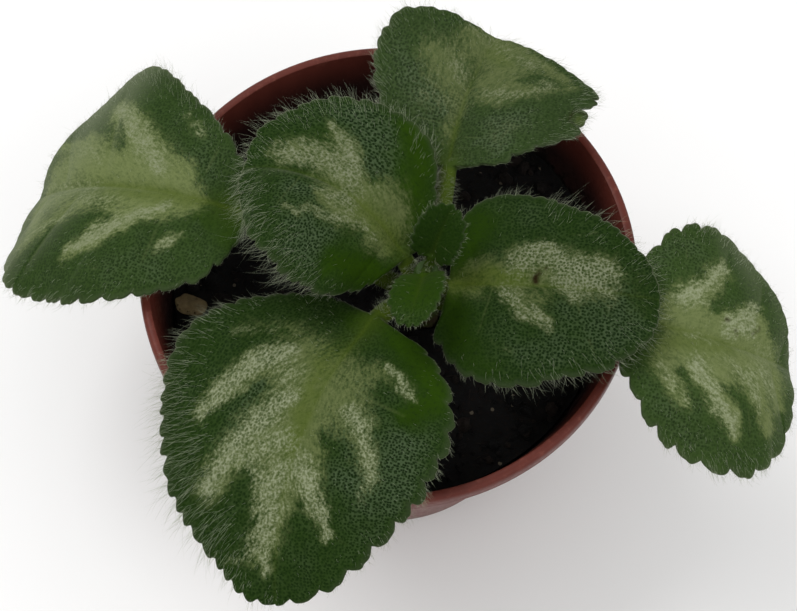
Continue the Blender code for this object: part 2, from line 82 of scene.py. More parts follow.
# Stem, in millimetres: its scars are rings that repeat with the pitch, and it turns green near its top
STEM_AXIS = (6.0, -4.6)
STEM_BOTTOM = 36.0
STEM_TOP = 68.4
STEM_RADIUS = 2.25
STEM_SIDES = 40
STEM_STEPS = 64
STEM_HOLE_RADIUS = 2.65
STEM_HOLE_DEPTH = 22.0
SCAR_PITCH = 4.0
SCAR_DEPTH = 0.07
STEM_GREEN = (55.0, 61.0)
STEM_HAIRS = 500
STEM_HAIR_LENGTH = (0.5, 1.4)
STEM_SEED = 17

# Leaf blades, in millimetres: a leaf shorter than the young length has fewer faces, veins and hairs. The
# stalk's hairs are stated as how many grow on a millimetre and the most that a stalk may have.
YOUNG_LENGTH = 20.0
BLADE_HALF = 0.4
TOOTH_PITCH = 4.6
TOOTH_DEPTH = 1.35
TOOTH_LEAN = 0.45
TEAR_WIDTH = 0.008
VEIN_SWEEP = 0.07
EDGE_ROUND = 0.45
EDGE_STEPS = 4
RING_PITCH = 0.8
STALK_SINK = 0.9
STALK_HAIRS = (45.0, 1200)
WANDER_SEED = 31
HAIR_SEED = 500

# Lights, in metres: place, width, and share of the key light's power. They all aim above the origin.
LIGHTS = {
    "key_light": ((-0.35, 0.25, 0.75), 0.5, 1.0),
    "fill_light": ((0.5, -0.4, 0.6), 0.7, 0.45),
}
LIGHT_AIM = 0.06
FLOOR_SIZE = 4.0

# Camera, in millimetres: how far its aim lies right of and below the rim's middle, and how far back it is
CAMERA_SHIFT = (1.6, 6.6)
CAMERA_DISTANCE = 320.5

# Colours that no setting holds
WALL_SOIL = (0.008, 0.006, 0.005)
PAINTED_WALL_SHADE = (0.011, 0.009, 0.009)
GRIT = (0.12, 0.1, 0.07)
PORE_SHADE = (0.05, 0.032, 0.015)
STEM_BARK = (0.045, 0.03, 0.015)
STEM_SCAR = (0.06, 0.035, 0.018)
LEAF_EDGE = (0.06, 0.075, 0.04)
PAINTED_HAIR_SHEEN = (0.2, 0.225, 0.14)
LEAF_BELOW = ((0.035, 0.06, 0.018), (0.05, 0.08, 0.03))
LEAF_SCAR = (0.014, 0.008, 0.002)
DUST = (0.5, 0.54, 0.4)

# Each leaf's form and looks. Where a value has two parts, they are for the left and the right half, as
# seen along the midrib from the stem to the tip. Stations run from base to tip: trim widens the edge and
# bite sizes its teeth. Split is the share of teeth that are split in two, and tears are notches of the
# right edge: place and depth. Hairs: length on the left half, on the right half and at the tip, and how
# many stand on the blade. Light: how light green, wash and silver are, how strong an even painted sheen
# of hairs is over the blade, and how deep it is.
LEAVES = {
    "leaf_inner_left": dict(
        height=64.5, heading=123.0, bend=56.0, petiole_turn=26.0,
        petiole_rise=50.0, rise=35.0, tip_rise=-18.0, petiole=2.8, length=30.7,
        width=(18.2, 16.4), form=(0.84, 1.05), skew=(0.02, 0.14), lobe=1.2,
        fold=(13.0, 6.0), arch=(1.2, 0.2), roll=8.0, twist=3.0,
        trim=((1.3, 1.07, 0.99, 0.94, 1.0, 1.0), (0.75, 0.72, 1.05, 0.96, 0.76, 0.72)),
        bite=((0.7, 0.8, 0.9, 0.9, 0.8, 0.7), (0.4, 0.5, 0.6, 0.7, 0.7, 0.7)),
        teeth=0.85, split=(0.3, 0.5), waves=2.6, wave_phase=0.1,
        stalk=(1.5, 1.2), hairs=(1.1, 0.8, 1.0, 0.65), seed=3,
        light=(0.1, 0.3, 0.42, 0.0, 0.1),
    ),
    "leaf_inner_right": dict(
        height=64.0, heading=-8.0, bend=2.0, petiole_turn=-12.0,
        petiole_rise=50.0, rise=24.0, tip_rise=-14.0, petiole=1.8, length=32.9,
        width=(14.8, 17.2), form=(0.8, 0.82), skew=(-0.32, -0.15), lobe=1.8,
        fold=(11.0, 8.0), arch=(1.2, 1.2), roll=-2.5, twist=-5.0,
        trim=((1.0, 1.0, 1.02, 1.0, 1.0, 1.03), (1.3, 0.98, 0.97, 0.89, 0.92, 0.95)),
        bite=((0.4, 0.4, 0.5, 0.5, 0.5, 0.5), (0.8, 1.0, 1.0, 0.9, 0.6, 0.4)),
        teeth=0.85, split=(0.5, 0.2), waves=2.2, wave_phase=0.35,
        stalk=(1.5, 1.2), hairs=(0.9, 0.75, 1.0, 0.25), seed=5,
        light=(0.05, 0.05, 0.42, 0.0, 0.22),
    ),
    "leaf_back": dict(
        height=60.5, heading=82.0, bend=-20.4, petiole_turn=-6.0,
        petiole_rise=35.0, rise=2.0, tip_rise=-6.0, petiole=17.5, length=25.7,
        width=(15.0, 18.5), form=(0.7, 0.8), skew=(0.2, 0.2), lobe=0.0,
        fold=(14.5, 22.3), arch=(0.8, 1.9), roll=-8.0, twist=8.0,
        trim=((0.93, 0.94, 0.95, 1.07, 1.22, 1.22), (0.79, 1.03, 1.09, 1.05, 1.3, 1.2)),
        bite=((0.6, 0.7, 0.8, 0.6, 0.3, 0.3), (0.7, 0.8, 0.7, 0.4, 0.3, 0.3)),
        teeth=0.95, split=(0.3, 0.3), tears=((0.517, 1.3), (0.583, 1.0)), waves=2.5, wave_phase=0.6,
        stalk=(1.45, 1.2), hairs=(0.6, 0.6, 1.0, 1.4), seed=8,
        light=(0.5, 0.2, 0.4, 0.07, 0.1),
    ),
    "leaf_front": dict(
        height=60.5, heading=-129.5, bend=41.5, petiole_turn=-18.0,
        petiole_rise=35.0, rise=17.5, tip_rise=-31.0, petiole=8.9, length=48.4,
        width=(20.8, 22.5), form=(0.86, 0.98), skew=(-0.27, -0.31), lobe=0.1,
        fold=(11.5, -5.0), arch=(0.7, 0.4), roll=4.0, twist=-2.0,
        trim=((1.3, 0.95, 0.97, 1.0, 0.97, 0.85), (0.92, 0.95, 1.08, 0.97, 0.84, 1.03)),
        bite=((0.5, 0.8, 1.1, 1.1, 1.1, 1.1), (0.4, 0.7, 0.8, 0.8, 0.8, 1.0)),
        teeth=1.15, split=(0.15, 0.75), waves=3.2, wave_phase=0.2,
        stalk=(1.6, 1.3), hairs=(0.45, 1.15, 0.4, 0.8), seed=13,
        light=(0.1, 0.45, 0.75, 0.0, 0.1),
    ),
    "leaf_outer_left": dict(
        height=57.5, heading=157.5, bend=8.5, petiole_turn=4.0,
        petiole_rise=30.0, rise=2.0, tip_rise=-56.0, petiole=28.3, length=46.6,
        width=(21.0, 21.2), form=(0.68, 0.92), skew=(0.16, 0.4), lobe=0.0,
        fold=(11.0, 10.5), arch=(1.1, 1.1), roll=-4.0, twist=10.5,
        trim=((0.89, 1.02, 1.0, 0.99, 1.03, 1.07), (0.72, 0.81, 0.95, 1.08, 0.88, 0.74)),
        bite=((0.5, 0.8, 1.0, 1.0, 0.8, 0.6), (0.5, 0.6, 0.4, 0.25, 0.25, 0.4)),
        teeth=1.0, split=(0.3, 0.3), waves=3.0, wave_phase=0.5,
        stalk=(1.6, 1.3), hairs=(0.55, 0.8, 0.8, 0.7), seed=21,
        light=(0.5, 1.0, 0.6, 0.03, 0.0),
    ),
    "leaf_outer_right": dict(
        height=57.5, heading=-9.0, bend=5.0, petiole_turn=-8.0,
        petiole_rise=30.0, rise=-2.0, tip_rise=-52.5, petiole=30.3, length=32.3,
        width=(18.9, 19.2), form=(0.88, 0.76), skew=(-0.07, 0.12), lobe=0.4,
        fold=(7.7, 8.3), arch=(1.2, 1.7), roll=-2.5, twist=-2.5,
        trim=((0.87, 0.92, 1.02, 1.07, 1.08, 1.11), (0.98, 0.99, 1.05, 1.03, 1.06, 0.7)),
        bite=((0.6, 0.9, 1.0, 0.5, 0.3, 0.3), (0.6, 0.9, 1.1, 1.1, 0.8, 0.4)),
        teeth=1.0, split=(0.25, 0.15), waves=2.4, wave_phase=0.8,
        stalk=(1.6, 1.3), hairs=(0.65, 0.6, 0.8, 1.1), seed=34,
        light=(1.0, 1.0, 0.9, 0.04, 0.0),
    ),
    "leaf_young_back": dict(
        height=69.0, heading=60.0, bend=0.0, petiole_turn=5.0,
        petiole_rise=78.0, rise=60.0, tip_rise=38.0, petiole=1.4, length=9.0,
        width=(3.9, 3.9), form=(0.8, 0.8), skew=(0.0, 0.0), lobe=0.6,
        fold=(26.0, 24.0), arch=(1.4, 1.4), roll=5.0, twist=3.0,
        trim=((1.0, 1.0), (1.0, 1.0)),
        bite=((1.0, 1.0), (1.0, 1.0)),
        teeth=0.42, split=(0.0, 0.0), waves=1.5, wave_phase=0.0,
        stalk=(0.8, 0.65), reach=1.25, half=0.3, hairs=(0.3, 0.3, 1.0, 0.5), seed=55,
        light=(0.0, 0.5, 0.5, 0.0, 0.2),
    ),
    "leaf_young_front": dict(
        height=69.0, heading=-104.0, bend=0.0, petiole_turn=2.0,
        petiole_rise=75.0, rise=45.0, tip_rise=-4.0, petiole=2.0, length=10.6,
        width=(3.9, 3.9), form=(0.7, 0.8), skew=(0.0, 0.0), lobe=1.0,
        fold=(20.0, 8.0), arch=(1.6, 2.0), roll=12.0, twist=-3.0,
        trim=((1.0, 1.0), (1.0, 1.0)),
        bite=((1.0, 1.0), (1.0, 1.0)),
        teeth=0.42, split=(0.0, 0.0), waves=1.5, wave_phase=0.5,
        stalk=(0.8, 0.65), reach=1.25, half=0.3, hairs=(0.3, 0.3, 1.0, 0.5), seed=89,
        light=(0.2, 0.5, 0.5, 0.0, 0.0),
    ),
}

# Strokes painted on each blade: strength, then points along the midrib, to its left, and the radius
MARKINGS = {
    "leaf_young_back": {
        "fresh": [(0.2, (4.0, 0.0, 20.0))],
        "pits": [(0.7, (7.6, -2.0, 1.2))],
    },
    "leaf_young_front": {
        "fresh": [(0.7, (1.0, 0.0, 5.0), (5.0, 0.5, 4.0))],
        "pits": [(1.0, (9.4, 0.0, 2.4), (7.8, 2.4, 1.4))],
    },
    "leaf_inner_left": {
        "silver": [
            (0.7, (26.0, -3.3, 1.0), (24.9, -2.8, 1.3), (23.2, -2.8, 1.0)),
            (0.7, (22.6, -5.4, 0.8), (20.5, -4.6, 1.3), (19.1, -4.8, 1.1), (18.2, -4.6, 1.0)),
            (0.7, (22.9, -2.2, 0.8), (20.7, -2.5, 1.3), (18.3, -2.7, 1.4), (16.2, -2.9, 1.3)),
            (0.9, (20.3, -10.3, 0.4), (18.7, -8.7, 0.6), (17.3, -7.1, 1.0), (15.9, -5.6, 1.1),
             (14.7, -4.1, 1.0)),
            (0.5, (15.4, -2.4, 1.3), (13.3, -0.9, 1.3), (12.2, 1.8, 1.4)),
            (0.7, (19.1, 2.2, 0.4), (17.5, 2.4, 0.5), (15.3, 2.3, 1.0), (13.4, 1.2, 1.3)),
            (0.7, (21.9, 7.8, 0.4), (19.3, 8.4, 0.5), (17.4, 6.3, 0.5), (15.7, 6.6, 0.6), (13.6, 5.9, 0.8),
             (12.1, 5.0, 0.6)),
            (0.6, (11.1, 4.9, 0.6), (9.5, 4.0, 0.8), (7.5, 3.1, 1.0), (5.7, 2.8, 0.8)),
            (0.35, (10.2, -2.7, 1.3), (9.6, -4.3, 1.0)),
            (0.2, (12.9, -10.3, 0.5), (11.9, -8.7, 0.5), (11.1, -6.8, 0.5)),
        ],
        "wash": [
            (0.85, (22.8, -3.4, 1.4), (19.8, -3.4, 2.1), (16.8, -2.9, 2.1), (14.3, -1.2, 2.1),
             (12.4, 0.8, 2.2)),
            (0.8, (18.7, -8.5, 0.8), (16.6, -6.7, 1.3), (14.5, -4.2, 1.6), (12.1, -1.8, 1.9),
             (9.8, -0.8, 2.6)),
            (0.85, (17.6, 3.0, 0.8), (14.6, 2.8, 1.9), (11.6, 2.5, 2.6), (8.8, 0.7, 2.9), (7.5, -1.7, 2.2)),
            (0.5, (24.8, -2.4, 1.4), (26.4, -2.8, 1.1)),
            (0.7, (6.7, 2.5, 1.6), (3.9, 2.3, 1.3), (5.4, -1.2, 1.9)),
            (0.4, (8.2, -3.7, 1.9), (9.3, -6.0, 1.3)),
            (0.4, (20.2, 8.4, 0.8), (17.9, 7.3, 0.8)),
        ],
        "dark": [
            (0.8, (21.9, -0.3, 1.3), (23.0, 1.5, 1.3), (19.6, 3.6, 1.6), (22.5, 5.2, 1.6)),
            (0.9, (15.8, -11.6, 1.9), (13.9, -9.0, 1.6), (12.8, -5.6, 1.1), (11.8, -3.9, 0.6)),
            (0.8, (10.4, 5.8, 0.8), (8.2, 5.4, 1.3), (9.6, 7.9, 1.9)),
        ],
        "olive": [(0.6, (9.8, 0.7, 1.9), (6.6, 0.5, 1.9), (3.8, 0.2, 1.9), (0.9, 1.5, 1.4))],
        "fresh": [
            (0.85, (12.0, -15.4, 1.6), (9.2, -12.0, 2.2), (6.8, -8.0, 2.2), (4.0, -4.3, 1.9)),
            (1.0, (7.5, 11.0, 2.2), (3.2, 8.1, 2.6), (-0.3, 4.7, 1.6)),
        ],
        "pits": [
            (0.55, (25.0, -3.4, 1.1), (20.4, -3.0, 1.1), (16.7, -3.6, 1.3)),
            (0.6, (15.1, 6.1, 1.0), (13.6, -0.7, 1.0)),
            (1.0, (17.0, -13.1, 1.9), (14.9, -10.1, 2.2), (14.3, -12.9, 1.9), (13.3, -6.2, 1.4)),
            (1.0, (17.3, 10.1, 2.6), (14.4, 12.6, 2.6), (13.0, 9.7, 1.9), (17.0, 13.9, 1.6)),
            (0.8, (22.0, 4.2, 1.6), (18.8, 3.3, 1.3)),
            (0.4, (20.8, -13.5, 1.3), (22.6, -10.7, 1.3)),
            (0.6, (12.0, -10.9, 1.3), (10.3, -7.1, 1.0)),
        ],
    },
    "leaf_inner_right": {
        "silver": [
            (0.9, (13.0, 6.4, 0.6), (14.5, 6.9, 0.6), (15.8, 6.7, 0.8), (16.6, 5.7, 0.8)),
            (0.75, (9.6, 4.3, 0.8), (11.1, 5.0, 1.0), (12.7, 5.2, 1.1), (14.7, 5.3, 1.3)),
            (0.6, (10.7, 2.6, 1.0), (12.5, 3.8, 1.1), (14.8, 4.2, 1.3)),
            (1.0, (18.3, 4.2, 0.8), (20.2, 3.6, 1.3), (22.0, 3.5, 1.4), (23.8, 3.5, 1.1), (25.2, 3.1, 0.8)),
            (1.0, (19.6, 1.3, 1.4), (21.9, 1.3, 1.4), (23.5, 1.2, 1.1), (24.5, -0.2, 0.8)),
            (0.7, (18.2, 0.4, 1.3), (19.4, -1.1, 1.0), (21.4, -1.4, 0.8)),
            (0.7, (17.5, 3.1, 1.0), (17.0, 5.2, 0.8)),
            (0.8, (9.2, -1.6, 1.0), (11.0, -3.6, 1.1), (12.2, -5.1, 1.0), (13.5, -6.1, 0.8)),
            (0.8, (14.1, -4.3, 0.5), (15.0, -6.0, 0.6), (16.1, -7.0, 0.6), (16.6, -7.6, 0.5)),
            (0.3, (12.9, -0.2, 1.3), (11.2, 0.7, 1.3)),
            (0.35, (26.0, 5.2, 0.5), (26.5, 2.2, 0.6), (25.9, -0.5, 0.6), (25.2, -3.4, 0.6)),
            (0.35, (18.2, 8.3, 0.2), (19.8, 9.0, 0.2), (22.1, 9.5, 0.2), (22.9, 9.5, 0.2)),
            (0.3, (8.7, -10.0, 0.3), (10.3, -11.3, 0.5), (11.4, -11.8, 0.5)),
            (0.25, (7.7, 7.3, 0.3), (8.6, 8.1, 0.3), (9.6, 9.1, 0.3)),
        ],
        "wash": [
            (0.85, (4.7, 2.5, 1.3), (8.0, 1.8, 1.9), (11.2, 1.5, 2.2), (14.2, 2.2, 2.2), (17.2, 2.4, 2.2),
             (20.3, 2.1, 2.1), (23.1, 2.1, 1.8)),
            (0.8, (10.9, 4.3, 1.3), (13.1, 5.4, 1.4), (15.4, 5.5, 1.4)),
            (0.85, (8.2, -0.4, 1.3), (10.4, -2.7, 1.4), (12.5, -5.1, 1.3), (13.8, -6.1, 1.0)),
            (0.6, (14.7, -2.9, 1.0), (15.9, -6.0, 1.0)),
            (0.7, (1.7, -0.3, 1.3), (3.8, -1.0, 1.4)),
            (0.16, (29.5, 3.0, 1.6), (29.0, -3.0, 2.2)),
        ],
        "dark": [
            (0.9, (6.4, -0.7, 0.6), (7.4, -2.1, 0.8), (8.6, -4.2, 1.0), (10.9, -6.9, 1.4),
             (13.9, -9.5, 1.9)),
            (0.8, (16.3, -4.5, 1.1), (19.8, -6.2, 2.2), (23.9, -7.1, 2.9)),
            (0.8, (7.1, 9.9, 1.9), (12.0, 8.7, 1.3), (19.9, 7.6, 1.0), (23.0, 7.3, 1.0)),
            (0.4, (14.5, -1.1, 0.8), (13.8, -0.1, 0.6)),
        ],
        "olive": [
            (0.8, (0.9, -0.3, 1.6), (3.3, 0.3, 1.6), (5.6, 1.4, 1.4), (8.1, 1.1, 1.3), (11.2, 1.1, 1.1)),
        ],
        "fresh": [
            (0.9, (3.8, 9.9, 2.6), (2.7, 6.4, 2.2), (2.2, 3.1, 1.6)),
            (0.8, (0.6, -3.1, 1.9), (2.0, -6.6, 2.6), (3.3, -10.0, 2.2)),
            (0.4, (6.0, -13.5, 1.9), (8.4, -14.7, 1.3)),
        ],
        "pits": [
            (0.85, (14.0, 3.8, 1.1), (19.5, 3.3, 1.3), (24.1, 2.7, 1.3)),
            (0.7, (8.7, 3.1, 1.0), (12.3, 5.8, 1.0)),
            (0.6, (19.3, -4.2, 2.2), (23.8, -4.5, 2.2), (22.5, -8.1, 2.6), (17.6, -10.4, 2.2),
             (15.6, -12.2, 1.9)),
            (0.9, (25.1, 0.4, 1.6), (26.9, -6.7, 2.6)),
            (0.3, (10.8, -8.2, 1.6), (12.8, -13.1, 1.9)),
            (0.35, (6.7, 12.3, 1.6), (13.2, 12.0, 1.6)),
        ],
        "scar": [
            (1.0, (13.7, 2.0, 0.4), (13.5, 1.0, 0.4)),
            (0.7, (14.7, 2.9, 0.2), (14.9, 2.5, 0.2)),
        ],
    },
    "leaf_back": {
        "silver": [
            (0.45, (25.1, 5.0, 0.8), (25.0, 3.1, 1.1), (24.9, 0.7, 1.3), (23.9, -2.0, 1.3),
             (22.6, -5.2, 1.3), (22.3, -7.2, 1.1)),
            (0.55, (18.5, 3.6, 1.0), (17.2, 2.2, 1.1), (15.7, 2.0, 0.8)),
            (0.65, (14.5, -3.7, 0.8), (14.2, -5.5, 1.1), (14.3, -7.2, 1.0), (15.3, -8.9, 0.8),
             (16.5, -11.0, 0.8), (18.9, -12.7, 0.8)),
            (0.35, (13.8, 6.4, 1.6), (11.1, 6.4, 1.9), (11.1, 3.9, 1.9), (11.1, 1.4, 1.3)),
            (0.5, (22.4, -8.9, 1.0), (24.2, -9.8, 0.8)),
            (0.3, (20.7, 9.6, 1.3), (20.6, 6.0, 1.3), (17.9, 5.6, 1.3)),
            (0.3, (4.1, -7.5, 1.1), (7.2, -7.8, 1.4), (8.4, -9.1, 1.3)),
        ],
        "wash": [
            (0.6, (18.8, 7.5, 1.1), (15.9, 3.6, 1.3), (12.5, 0.5, 1.0)),
            (0.8, (24.2, 3.2, 0.8), (25.1, -1.4, 1.1), (23.4, -9.3, 1.1), (21.7, -14.4, 0.8)),
            (0.5, (16.3, -5.1, 1.0), (17.2, -12.5, 0.8), (20.9, -16.5, 0.6)),
            (0.5, (14.2, -18.9, 0.6), (13.6, -19.7, 0.6), (12.7, -19.6, 0.5)),
            (0.6, (18.2, 4.9, 2.2), (14.5, 2.5, 1.9), (10.5, 0.7, 1.4), (5.8, 0.8, 1.1)),
            (0.9, (23.1, 1.6, 2.2), (21.4, -3.1, 2.6), (20.5, -6.2, 2.2), (17.0, -3.1, 1.9)),
            (0.7, (13.5, -4.3, 1.3), (14.2, -7.5, 1.3), (16.3, -10.2, 1.1)),
            (0.4, (19.2, 8.9, 1.6), (15.6, 6.3, 1.9)),
        ],
        "dark": [
            (0.8, (10.4, -3.6, 0.8), (10.8, -6.8, 0.8), (12.3, -9.7, 0.8), (14.0, -12.6, 0.8)),
            (0.6, (18.4, -7.8, 0.5), (19.2, -9.6, 0.6), (20.1, -11.0, 0.5)),
            (0.7, (7.8, -2.5, 1.3), (4.9, -2.8, 1.3), (3.0, -3.9, 1.0)),
        ],
        "olive": [
            (0.7, (1.4, -0.3, 1.3), (5.0, -0.5, 1.1), (7.7, -0.8, 1.0)),
            (0.4, (23.2, -1.4, 1.3), (21.2, -4.0, 1.3)),
            (0.9, (14.2, -18.9, 0.6), (13.6, -19.7, 0.6), (12.7, -19.6, 0.5)),
        ],
        "fresh": [(0.6, (-3.0, -0.8, 1.0), (0.5, -0.8, 1.1))],
        "scar": [
            (0.55, (16.8, -20.0, 0.3), (15.6, -19.2, 0.3), (15.3, -18.3, 0.2)),
            (0.45, (14.8, -17.5, 0.2), (13.0, -18.1, 0.3), (11.5, -19.0, 0.3)),
            (0.4, (19.3, -20.0, 0.2), (20.3, -20.6, 0.2)),
        ],
        "pits": [
            (0.9, (13.0, 8.7, 1.6), (12.0, 6.7, 2.6), (10.3, 3.7, 2.2)),
            (0.9, (9.6, -9.6, 1.6), (8.2, -7.5, 1.9), (4.1, -8.4, 1.4), (4.9, -5.7, 1.0)),
            (0.5, (12.3, 0.8, 1.3), (14.6, -0.4, 1.3)),
            (0.5, (15.5, 11.5, 1.6), (17.4, 13.3, 1.3)),
        ],
    },
    "leaf_front": {
        "silver": [
            (0.95, (11.8, -7.7, 1.1), (13.6, -10.2, 1.4), (15.8, -11.9, 1.3), (18.1, -13.4, 1.3),
             (20.4, -14.6, 1.3), (22.4, -15.8, 1.0), (24.1, -16.6, 0.8)),
            (0.4, (9.1, -11.8, 0.6), (10.9, -14.9, 0.6), (12.4, -17.5, 0.6)),
            (0.95, (18.0, -4.0, 1.3), (21.4, -6.2, 1.6), (24.5, -7.8, 1.6), (27.0, -9.2, 1.4),
             (29.5, -10.3, 1.4), (31.7, -11.2, 1.3), (33.9, -11.9, 1.1)),
            (0.7, (24.7, -2.7, 1.3), (26.6, -5.1, 1.3), (28.4, -6.8, 1.1)),
            (0.6, (29.9, -5.6, 0.8), (31.1, -4.3, 1.0)),
            (0.85, (28.9, -1.1, 1.4), (32.2, -2.1, 1.8), (35.1, -1.8, 1.9), (38.0, -2.1, 1.8),
             (40.7, -2.4, 1.4)),
            (0.8, (42.1, -1.5, 0.6), (44.6, -1.2, 0.4)),
            (0.5, (40.9, -4.0, 0.6), (42.2, -5.2, 0.5), (42.9, -7.3, 0.5)),
            (1.0, (28.1, 2.3, 1.3), (30.3, 3.6, 1.4), (32.1, 4.9, 1.3), (33.7, 5.9, 1.0), (35.8, 7.0, 0.8),
             (37.6, 7.7, 0.6)),
            (0.9, (17.2, 6.2, 1.3), (18.8, 8.0, 1.4), (20.6, 9.6, 1.1), (22.6, 10.8, 1.0), (24.8, 11.8, 1.0),
             (27.0, 12.7, 1.0)),
            (0.5, (28.7, 11.9, 0.6), (31.7, 11.9, 0.5)),
            (0.8, (7.4, 7.4, 0.5), (8.2, 9.8, 0.6), (9.8, 11.7, 0.8), (10.7, 13.0, 0.6)),
            (0.5, (14.1, -4.5, 1.1), (14.8, -6.5, 1.3)),
            (0.4, (26.9, 1.0, 1.3), (24.1, -0.4, 1.3)),
        ],
        "wash": [
            (0.8, (10.9, -5.4, 1.9), (13.2, -7.7, 1.9), (15.9, -10.2, 1.8), (18.5, -12.5, 1.4),
             (21.1, -14.3, 1.1)),
            (0.85, (15.6, -2.7, 2.6), (20.3, -3.7, 2.9), (24.3, -5.5, 2.4), (27.4, -7.6, 1.9),
             (30.3, -9.5, 1.4), (33.0, -10.9, 1.3)),
            (0.85, (21.0, -1.0, 2.6), (26.6, -0.8, 2.9), (31.3, -1.1, 2.9), (35.0, -1.2, 2.7),
             (38.7, -1.7, 2.2), (41.3, -2.4, 1.6)),
            (0.8, (22.4, 0.1, 2.2), (27.3, 2.7, 2.1), (31.1, 4.5, 1.8), (34.4, 6.2, 1.1)),
            (0.8, (15.2, 0.7, 2.2), (16.5, 4.8, 2.6), (18.9, 7.8, 2.1), (22.4, 10.6, 1.3),
             (26.7, 12.7, 1.1)),
            (0.5, (10.7, -0.2, 2.6), (10.7, 4.3, 2.2), (8.4, 6.5, 1.1), (8.9, 10.5, 1.1)),
            (0.3, (8.1, -8.4, 1.6), (9.6, -12.8, 1.3), (12.1, -16.8, 1.0)),
        ],
        "dark": [
            (0.9, (18.1, -8.9, 0.8), (20.7, -11.4, 1.1), (23.7, -13.3, 1.3), (26.2, -14.9, 1.6)),
            (0.95, (30.7, -6.2, 0.8), (33.0, -6.8, 1.4), (37.2, -6.2, 2.6), (40.7, -6.8, 1.9)),
            (0.95, (34.0, 3.0, 0.8), (36.5, 3.4, 1.4), (40.3, 3.7, 2.2)),
            (0.95, (21.8, 3.2, 0.6), (23.9, 6.1, 1.6), (28.4, 8.1, 2.2), (34.5, 10.2, 2.9)),
            (0.9, (12.6, 10.6, 1.6), (19.1, 14.1, 2.2), (25.6, 16.9, 2.9)),
            (0.7, (10.9, -11.9, 0.8), (12.5, -14.6, 0.8), (15.0, -17.5, 1.3)),
        ],
        "olive": [
            (0.65, (-0.2, 0.2, 1.6), (5.5, -1.0, 1.4), (10.4, -2.1, 1.4), (15.2, -1.7, 1.3),
             (19.3, -1.1, 1.4), (22.9, -1.0, 1.4), (25.5, -0.8, 1.0)),
        ],
        "fresh": [
            (0.9, (1.5, 5.8, 2.2), (4.3, 12.2, 2.6), (8.1, 17.1, 1.9), (13.6, 14.4, 1.9)),
            (0.5, (1.1, 2.7, 1.9), (2.6, -3.0, 1.6)),
        ],
        "pits": [
            (0.3, (22.4, -16.6, 1.0), (17.6, -13.0, 1.0), (12.8, -8.9, 1.0)),
            (0.3, (32.4, -11.1, 1.0), (25.6, -6.5, 1.1), (18.1, -2.3, 1.1)),
            (1.0, (20.4, 15.5, 3.2), (27.4, 17.2, 2.9), (28.0, 9.6, 2.2)),
            (0.7, (21.0, -6.8, 2.2), (25.0, -9.3, 1.9), (14.8, -9.3, 1.6)),
            (0.6, (20.3, 6.4, 1.6), (18.8, 3.3, 1.6)),
            (0.5, (35.2, 15.5, 2.6), (13.0, 5.6, 1.9)),
        ],
    },
    "leaf_outer_left": {
        "silver": [
            (0.9, (32.3, -15.4, 1.0), (28.4, -12.8, 1.3), (25.6, -10.6, 1.4), (22.9, -8.4, 1.6),
             (20.8, -6.6, 1.6), (18.9, -4.9, 1.6), (17.4, -3.7, 1.1)),
            (0.45, (36.7, -7.3, 1.3), (33.5, -6.4, 1.4), (30.6, -4.6, 1.3)),
            (1.0, (14.0, 2.8, 0.6), (16.0, 4.6, 0.8), (18.2, 5.9, 1.0), (20.4, 7.3, 1.0), (22.1, 8.6, 1.3),
             (23.6, 9.7, 1.3), (25.1, 10.8, 1.0), (26.6, 11.9, 0.8), (28.6, 13.3, 0.6)),
            (0.9, (10.3, 8.1, 0.6), (11.0, 9.2, 0.6), (11.3, 10.0, 0.6)),
            (0.5, (9.3, 7.4, 0.3), (8.7, 6.6, 0.3)),
            (0.6, (17.2, -14.4, 0.5), (17.0, -13.5, 0.5)),
            (0.55, (15.1, -12.2, 0.5), (13.9, -11.4, 0.6), (12.6, -10.4, 0.5)),
            (0.6, (32.1, 5.7, 0.6), (34.9, 7.3, 0.6), (37.9, 8.8, 0.6), (40.3, 10.4, 0.6)),
            (0.5, (45.2, -1.0, 0.6), (39.6, -0.8, 0.8), (35.1, -0.5, 0.8), (29.6, 0.6, 1.0)),
            (0.5, (31.6, 2.8, 1.0), (28.0, 3.0, 1.3), (24.5, 3.4, 1.3)),
            (0.35, (13.5, -1.2, 0.3), (11.1, -0.6, 0.3), (8.6, 0.1, 0.3)),
            (0.3, (22.4, 14.9, 0.3), (21.5, 15.8, 0.5)),
        ],
        "wash": [
            (0.85, (30.8, -13.6, 1.0), (20.8, -6.6, 1.4), (14.8, -2.0, 1.4)),
            (0.85, (37.1, -4.5, 1.3), (28.1, -4.2, 1.4), (19.2, -2.7, 1.4)),
            (0.75, (41.0, -4.2, 1.3), (43.2, 0.9, 1.1), (41.8, 7.1, 0.8)),
            (0.7, (44.2, -9.5, 1.0), (34.3, -7.9, 1.1)),
            (0.55, (19.2, -9.6, 1.0), (15.4, -6.4, 1.0), (12.0, -3.4, 0.8)),
            (0.85, (31.2, -14.3, 1.6), (25.4, -10.2, 2.1), (20.8, -6.6, 2.4), (17.4, -3.7, 2.2),
             (13.5, -1.5, 1.9), (11.0, -0.2, 1.4)),
            (0.85, (35.8, -7.1, 2.1), (31.6, -3.8, 3.2), (26.5, 0.1, 3.5), (20.3, 1.9, 2.9),
             (14.6, 1.9, 2.2), (10.3, 1.3, 1.6)),
            (0.7, (41.0, -3.2, 2.6), (36.3, 1.7, 2.2), (41.4, 3.0, 1.9), (40.4, 7.4, 1.4)),
            (0.85, (16.3, 3.9, 1.6), (19.6, 6.8, 1.8), (22.3, 9.5, 1.8), (25.4, 11.5, 1.4),
             (28.2, 13.5, 1.1)),
            (0.6, (31.0, 4.4, 1.6), (35.3, 6.7, 1.3), (38.7, 9.7, 1.3), (41.2, 11.8, 1.3)),
        ],
        "dark": [
            (0.95, (22.7, 6.0, 0.4), (25.8, 6.7, 0.5), (28.6, 7.5, 0.8), (31.6, 9.7, 1.1), (33.7, 12.1, 1.4),
             (34.9, 14.4, 1.6)),
